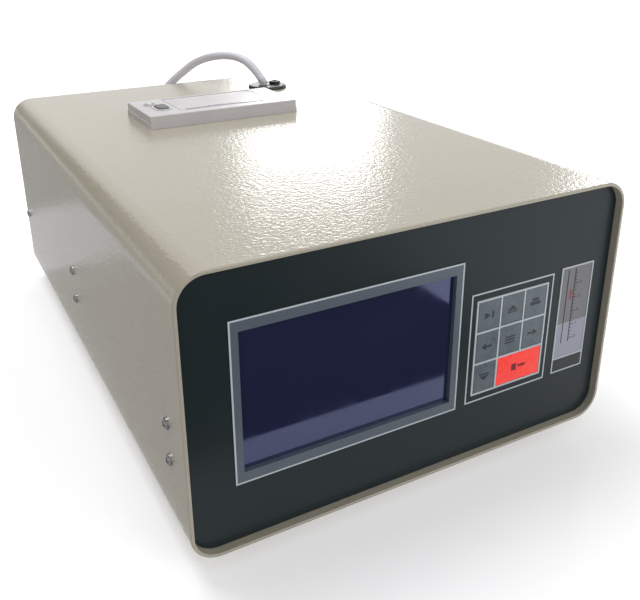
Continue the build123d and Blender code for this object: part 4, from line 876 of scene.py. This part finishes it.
tearBar = {  # mm
    "inset": 4.0,  # from each end of the door
    "fromEdge": 1.2,
    "depth": 1.6,
    "sheet": 0.25,
    "teeth": 48,
    "tooth": 0.85,
}

fuseGrip = {  # mm
    "ribs": 24,
    "rib": (0.7, 0.8, 3.4),  # radial, round and along the cap
    "fromTop": 0.6,
}


def makeTearBar():
    low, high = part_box("printer_door")
    inset, depth, sheet = [tearBar[key] * mm for key in ("inset", "depth", "sheet")]
    form = bmesh.new()
    left, right = low.x + inset, high.x - inset
    front = low.y + tearBar["fromEdge"] * mm
    corners = [(left, front), (right, front), (right, front + depth), (left, front + depth)]
    bottom = [form.verts.new((x, y, high.z)) for x, y in corners]
    top = [form.verts.new((x, y, high.z + sheet)) for x, y in corners]
    form.faces.new(bottom[::-1])
    form.faces.new(top)
    for i in range(4):
        form.faces.new((bottom[i], bottom[(i + 1) % 4], top[(i + 1) % 4], top[i]))
    addPiece("tearBar", form, finish["steel"], "door")
    tooth, teeth = tearBar["tooth"] * mm, tearBar["teeth"]
    step = (right - left) / teeth
    values = {
        "Count": teeth,
        "Start": (left + step / 2, front, high.z + sheet / 2),
        "Step": (step, 0, 0),
        "Size": (tooth, tooth, sheet),
        "Turn": (0, 0, math.pi / 4),
        "Finish": finish["steel"],
    }
    growPiece("tearTeeth", boxRow, values, "door")


def makeFuseGrip():
    low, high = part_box("fuse_holder")
    mid = (low + high) / 2
    along = fuseGrip["rib"][2] * mm
    values = {
        "Count": fuseGrip["ribs"],
        "Radius": (high.x - low.x) / 2,
        "Size": [value * mm for value in fuseGrip["rib"]],
        "Place": (mid.x, high.y - along / 2 - fuseGrip["fromTop"] * mm, mid.z),
        "Finish": finish["nylon"],
    }
    growPiece("fuseGrip", ribRing, values, "case")


makeTearBar()
makeFuseGrip()
print("tear bar and fuse grip made")


# Signs on the power rocker, following its sloping faces

rockerMarks = {  # mm
    "ink": 0.06,
    "onBar": (0.9, 3.4),
    "offRing": (3.2, 0.7),  # diameter and line
    "sides": 16,
    "fromMiddle": 4.6,
    "rayStart": 20,  # behind the rocker, where each ray towards its face sets out
}


def makeRockerMarks():
    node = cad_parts["power_rocker"]
    shape = bmesh.new()
    shape.from_mesh(node.data)
    tree = BVHTree.FromBMesh(shape)
    shape.free()
    low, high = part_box("power_rocker")
    mid = (low + high) / 2
    behind = high.y + rockerMarks["rayStart"] * mm

    def onFace(x, z, lift):
        hit = tree.ray_cast(Vector((x, behind, z)), Vector((0, -1, 0)))[0]
        return Vector((x, hit.y + lift * mm, z))

    def addPatch(form, outline):
        near = [form.verts.new(onFace(x, z, 0.0)) for x, z in outline]
        far = [form.verts.new(onFace(x, z, rockerMarks["ink"])) for x, z in outline]
        form.faces.new(near[::-1])
        form.faces.new(far)
        for i in range(len(outline)):
            j = (i + 1) % len(outline)
            form.faces.new((near[i], near[j], far[j], far[i]))

    form = bmesh.new()
    away = rockerMarks["fromMiddle"] * mm
    width, height = [value * mm for value in rockerMarks["onBar"]]
    addPatch(form, rectangle(mid.x, mid.z + away, width, height))
    size, line = [value * mm for value in rockerMarks["offRing"]]
    sides = rockerMarks["sides"]
    for i in range(sides):
        turns = [math.tau * (i + step) / sides for step in (0, 1)]
        outer = [
            (mid.x + size / 2 * math.cos(t), mid.z - away + size / 2 * math.sin(t)) for t in turns
        ]
        inner = [
            (mid.x + (size / 2 - line) * math.cos(t),
             mid.z - away + (size / 2 - line) * math.sin(t))
            for t in turns
        ]
        addPatch(form, [outer[0], outer[1], inner[1], inner[0]])
    addPiece("rockerMarks", form, finish["white"], "rocker")


makeRockerMarks()
print("rocker marks made")


# Stage and light

stage = {
    "floor": 14.0,  # metres
    "floorGlow": (0.4, 0.8),  # beside the object, and far from it
    "glowRange": (0.2, 0.6),  # metres from the middle, between which it changes
    "world": 0.36,
    "window": {"at": (1.04, 1.87, 0.54), "aim": (0.04, 0.06, 0.145), "size": (0.46, 0.45),
               "power": 4.4},
    "overhead": {"at": (-0.3, 0.5, 1.7), "aim": (0, 0, 0), "size": (0.8, 0.8), "power": 14},
    "glint": {"at": (1.6, 1.0, 0.71), "aim": (0.1, -0.16, 0.145), "size": (0.24, 0.5),
              "power": 2.4},
    "front": {"at": (0.9, -1.9, 0.9), "aim": (0, -0.1, 0.08), "size": (1.2, 1.2), "power": 12},
    "cards": {  # metres; what the panel, the display and the left side mirror, as painted reflections: a dark room in front, floor in the case's shade at the left, a lit strip of floor behind the case, greyer floor further back and a dark wall
        "frontCard": {"color": "#15151a", "x": (-1.2, 0.14), "y": (-2.0, -0.25),
                      "z": (0.002, 0.002)},
        "leftShadedFloorCard": {"color": "#c6c6c8", "x": (-2.5, -0.125), "y": (-0.24, 0.185),
                     "z": (0.002, 0.002)},
        "litFloorStripCard": {"color": "#eeeef6", "x": (-2.5, -0.125), "y": (0.185, 0.346),
                     "z": (0.002, 0.002)},
        "rearCard": {"color": "#b4b4b6", "x": (-2.5, -0.125), "y": (0.346, 3.0),
                     "z": (0.002, 0.002)},
        "wallCard": {"color": "#2a2a2c", "x": (-1.0, -1.0), "y": (-1.5, 6.0), "z": (0.2, 3.5)},
    },
}


def areaLamp(name, at, aim, size, power):
    data = bpy.data.lights.new(name, "AREA")
    data.shape = "RECTANGLE"
    data.size, data.size_y = size
    data.energy = power
    lamp = bpy.data.objects.new(name, data)
    bpy.context.collection.objects.link(lamp)
    lamp.location = at
    lamp.rotation_euler = (Vector(aim) - Vector(at)).to_track_quat("-Z", "Y").to_euler()


def stageSheet(name, x, y, z, material):
    # a flat sheet, or one standing along Y when both x are the same
    corners = [(x[0], y[0], z[0]), (x[1], y[0], z[1]), (x[1], y[1], z[1]), (x[0], y[1], z[0])]
    mesh = bpy.data.meshes.new(name)
    mesh.from_pydata(corners, [], [(0, 1, 2, 3)])
    mesh.materials.append(material)
    sheet = bpy.data.objects.new(name, mesh)
    bpy.context.collection.objects.link(sheet)
    return sheet


def seenDirectly(tree):
    # 1 where the eye meets the surface straight on, in a mirror or through glass,
    # and 0 where the surface only lights others
    rays = addNode(tree, "ShaderNodeLightPath").outputs
    shown = addNode(
        tree, "ShaderNodeMath",
        {0: rays["Is Camera Ray"], 1: rays["Is Glossy Ray"]}, operation="MAXIMUM"
    )
    return addNode(
        tree, "ShaderNodeMath",
        {0: shown.outputs[0], 1: rays["Is Transmission Ray"]}, operation="MAXIMUM"
    ).outputs[0]


def makeFloorPaper():
    # matt white paper, lifted a little for the camera so that only the shadow shows on it
    material, tree, shader, place = newMaterial("whitePaper")
    fibre = addNode(tree, "ShaderNodeTexNoise", {"Vector": place, "Scale": perMetre(3)})
    gloss = addNode(
        tree, "ShaderNodeMapRange", {"Value": fibre.outputs["Fac"], "To Min": 0.85, "To Max": 0.95}
    )
    addNode(
        tree, shader,
        {"Base Color": fromHex("#e9e9eb"), "Roughness": gloss.outputs["Result"],
         "Specular IOR Level": 0.1},
    )
    seen = seenDirectly(tree)
    away = addNode(tree, "ShaderNodeVectorMath", {0: place}, operation="LENGTH")
    near, far = stage["glowRange"]
    lift = addNode(
        tree, "ShaderNodeMapRange",
        {"Value": away.outputs["Value"], "From Min": near, "From Max": far,
         "To Min": stage["floorGlow"][0], "To Max": stage["floorGlow"][1]},
    )
    glow = addNode(
        tree, "ShaderNodeMath", {0: seen, 1: lift.outputs["Result"]}, operation="MULTIPLY"
    )
    addNode(tree, shader, {"Emission Color": (1, 1, 1, 1), "Emission Strength": glow.outputs[0]})
    return material


def makeCard(name, color):
    # matt card that only reflections see: its colour is a painted reflection
    material, tree, shader, place = newMaterial(name + "Board")
    nap = addNode(tree, "ShaderNodeTexNoise", {"Vector": place, "Scale": perMetre(20)})
    gloss = addNode(
        tree, "ShaderNodeMapRange", {"Value": nap.outputs["Fac"], "To Min": 0.85, "To Max": 0.95}
    )
    addNode(
        tree, shader,
        {"Base Color": fromHex(color), "Roughness": gloss.outputs["Result"],
         "Specular IOR Level": 0.0},
    )
    return material


def makeStage():
    half = stage["floor"] / 2
    stageSheet("floor", (-half, half), (-half, half), (0, 0), makeFloorPaper())
    for name, values in stage["cards"].items():
        card = stageSheet(
            name, values["x"], values["y"], values["z"], makeCard(name, values["color"])
        )
        card.visible_camera = False
        card.visible_diffuse = False
        card.visible_shadow = False
        card.visible_transmission = False
    for name in ("window", "overhead", "glint", "front"):
        areaLamp(name, **stage[name])
    world = bpy.data.worlds.new("studio")
    bpy.context.scene.world = world
    world.use_nodes = True
    tree = world.node_tree
    strength = addNode(
        tree, "ShaderNodeMapRange",
        {"Value": seenDirectly(tree), "To Min": stage["world"], "To Max": 1.0},
    )
    addNode(
        tree, tree.nodes["Background"],
        {"Color": (1, 1, 1, 1), "Strength": strength.outputs["Result"]},
    )
    bpy.context.scene.view_settings.view_transform = "Standard"


makeStage()
print("stage ready")
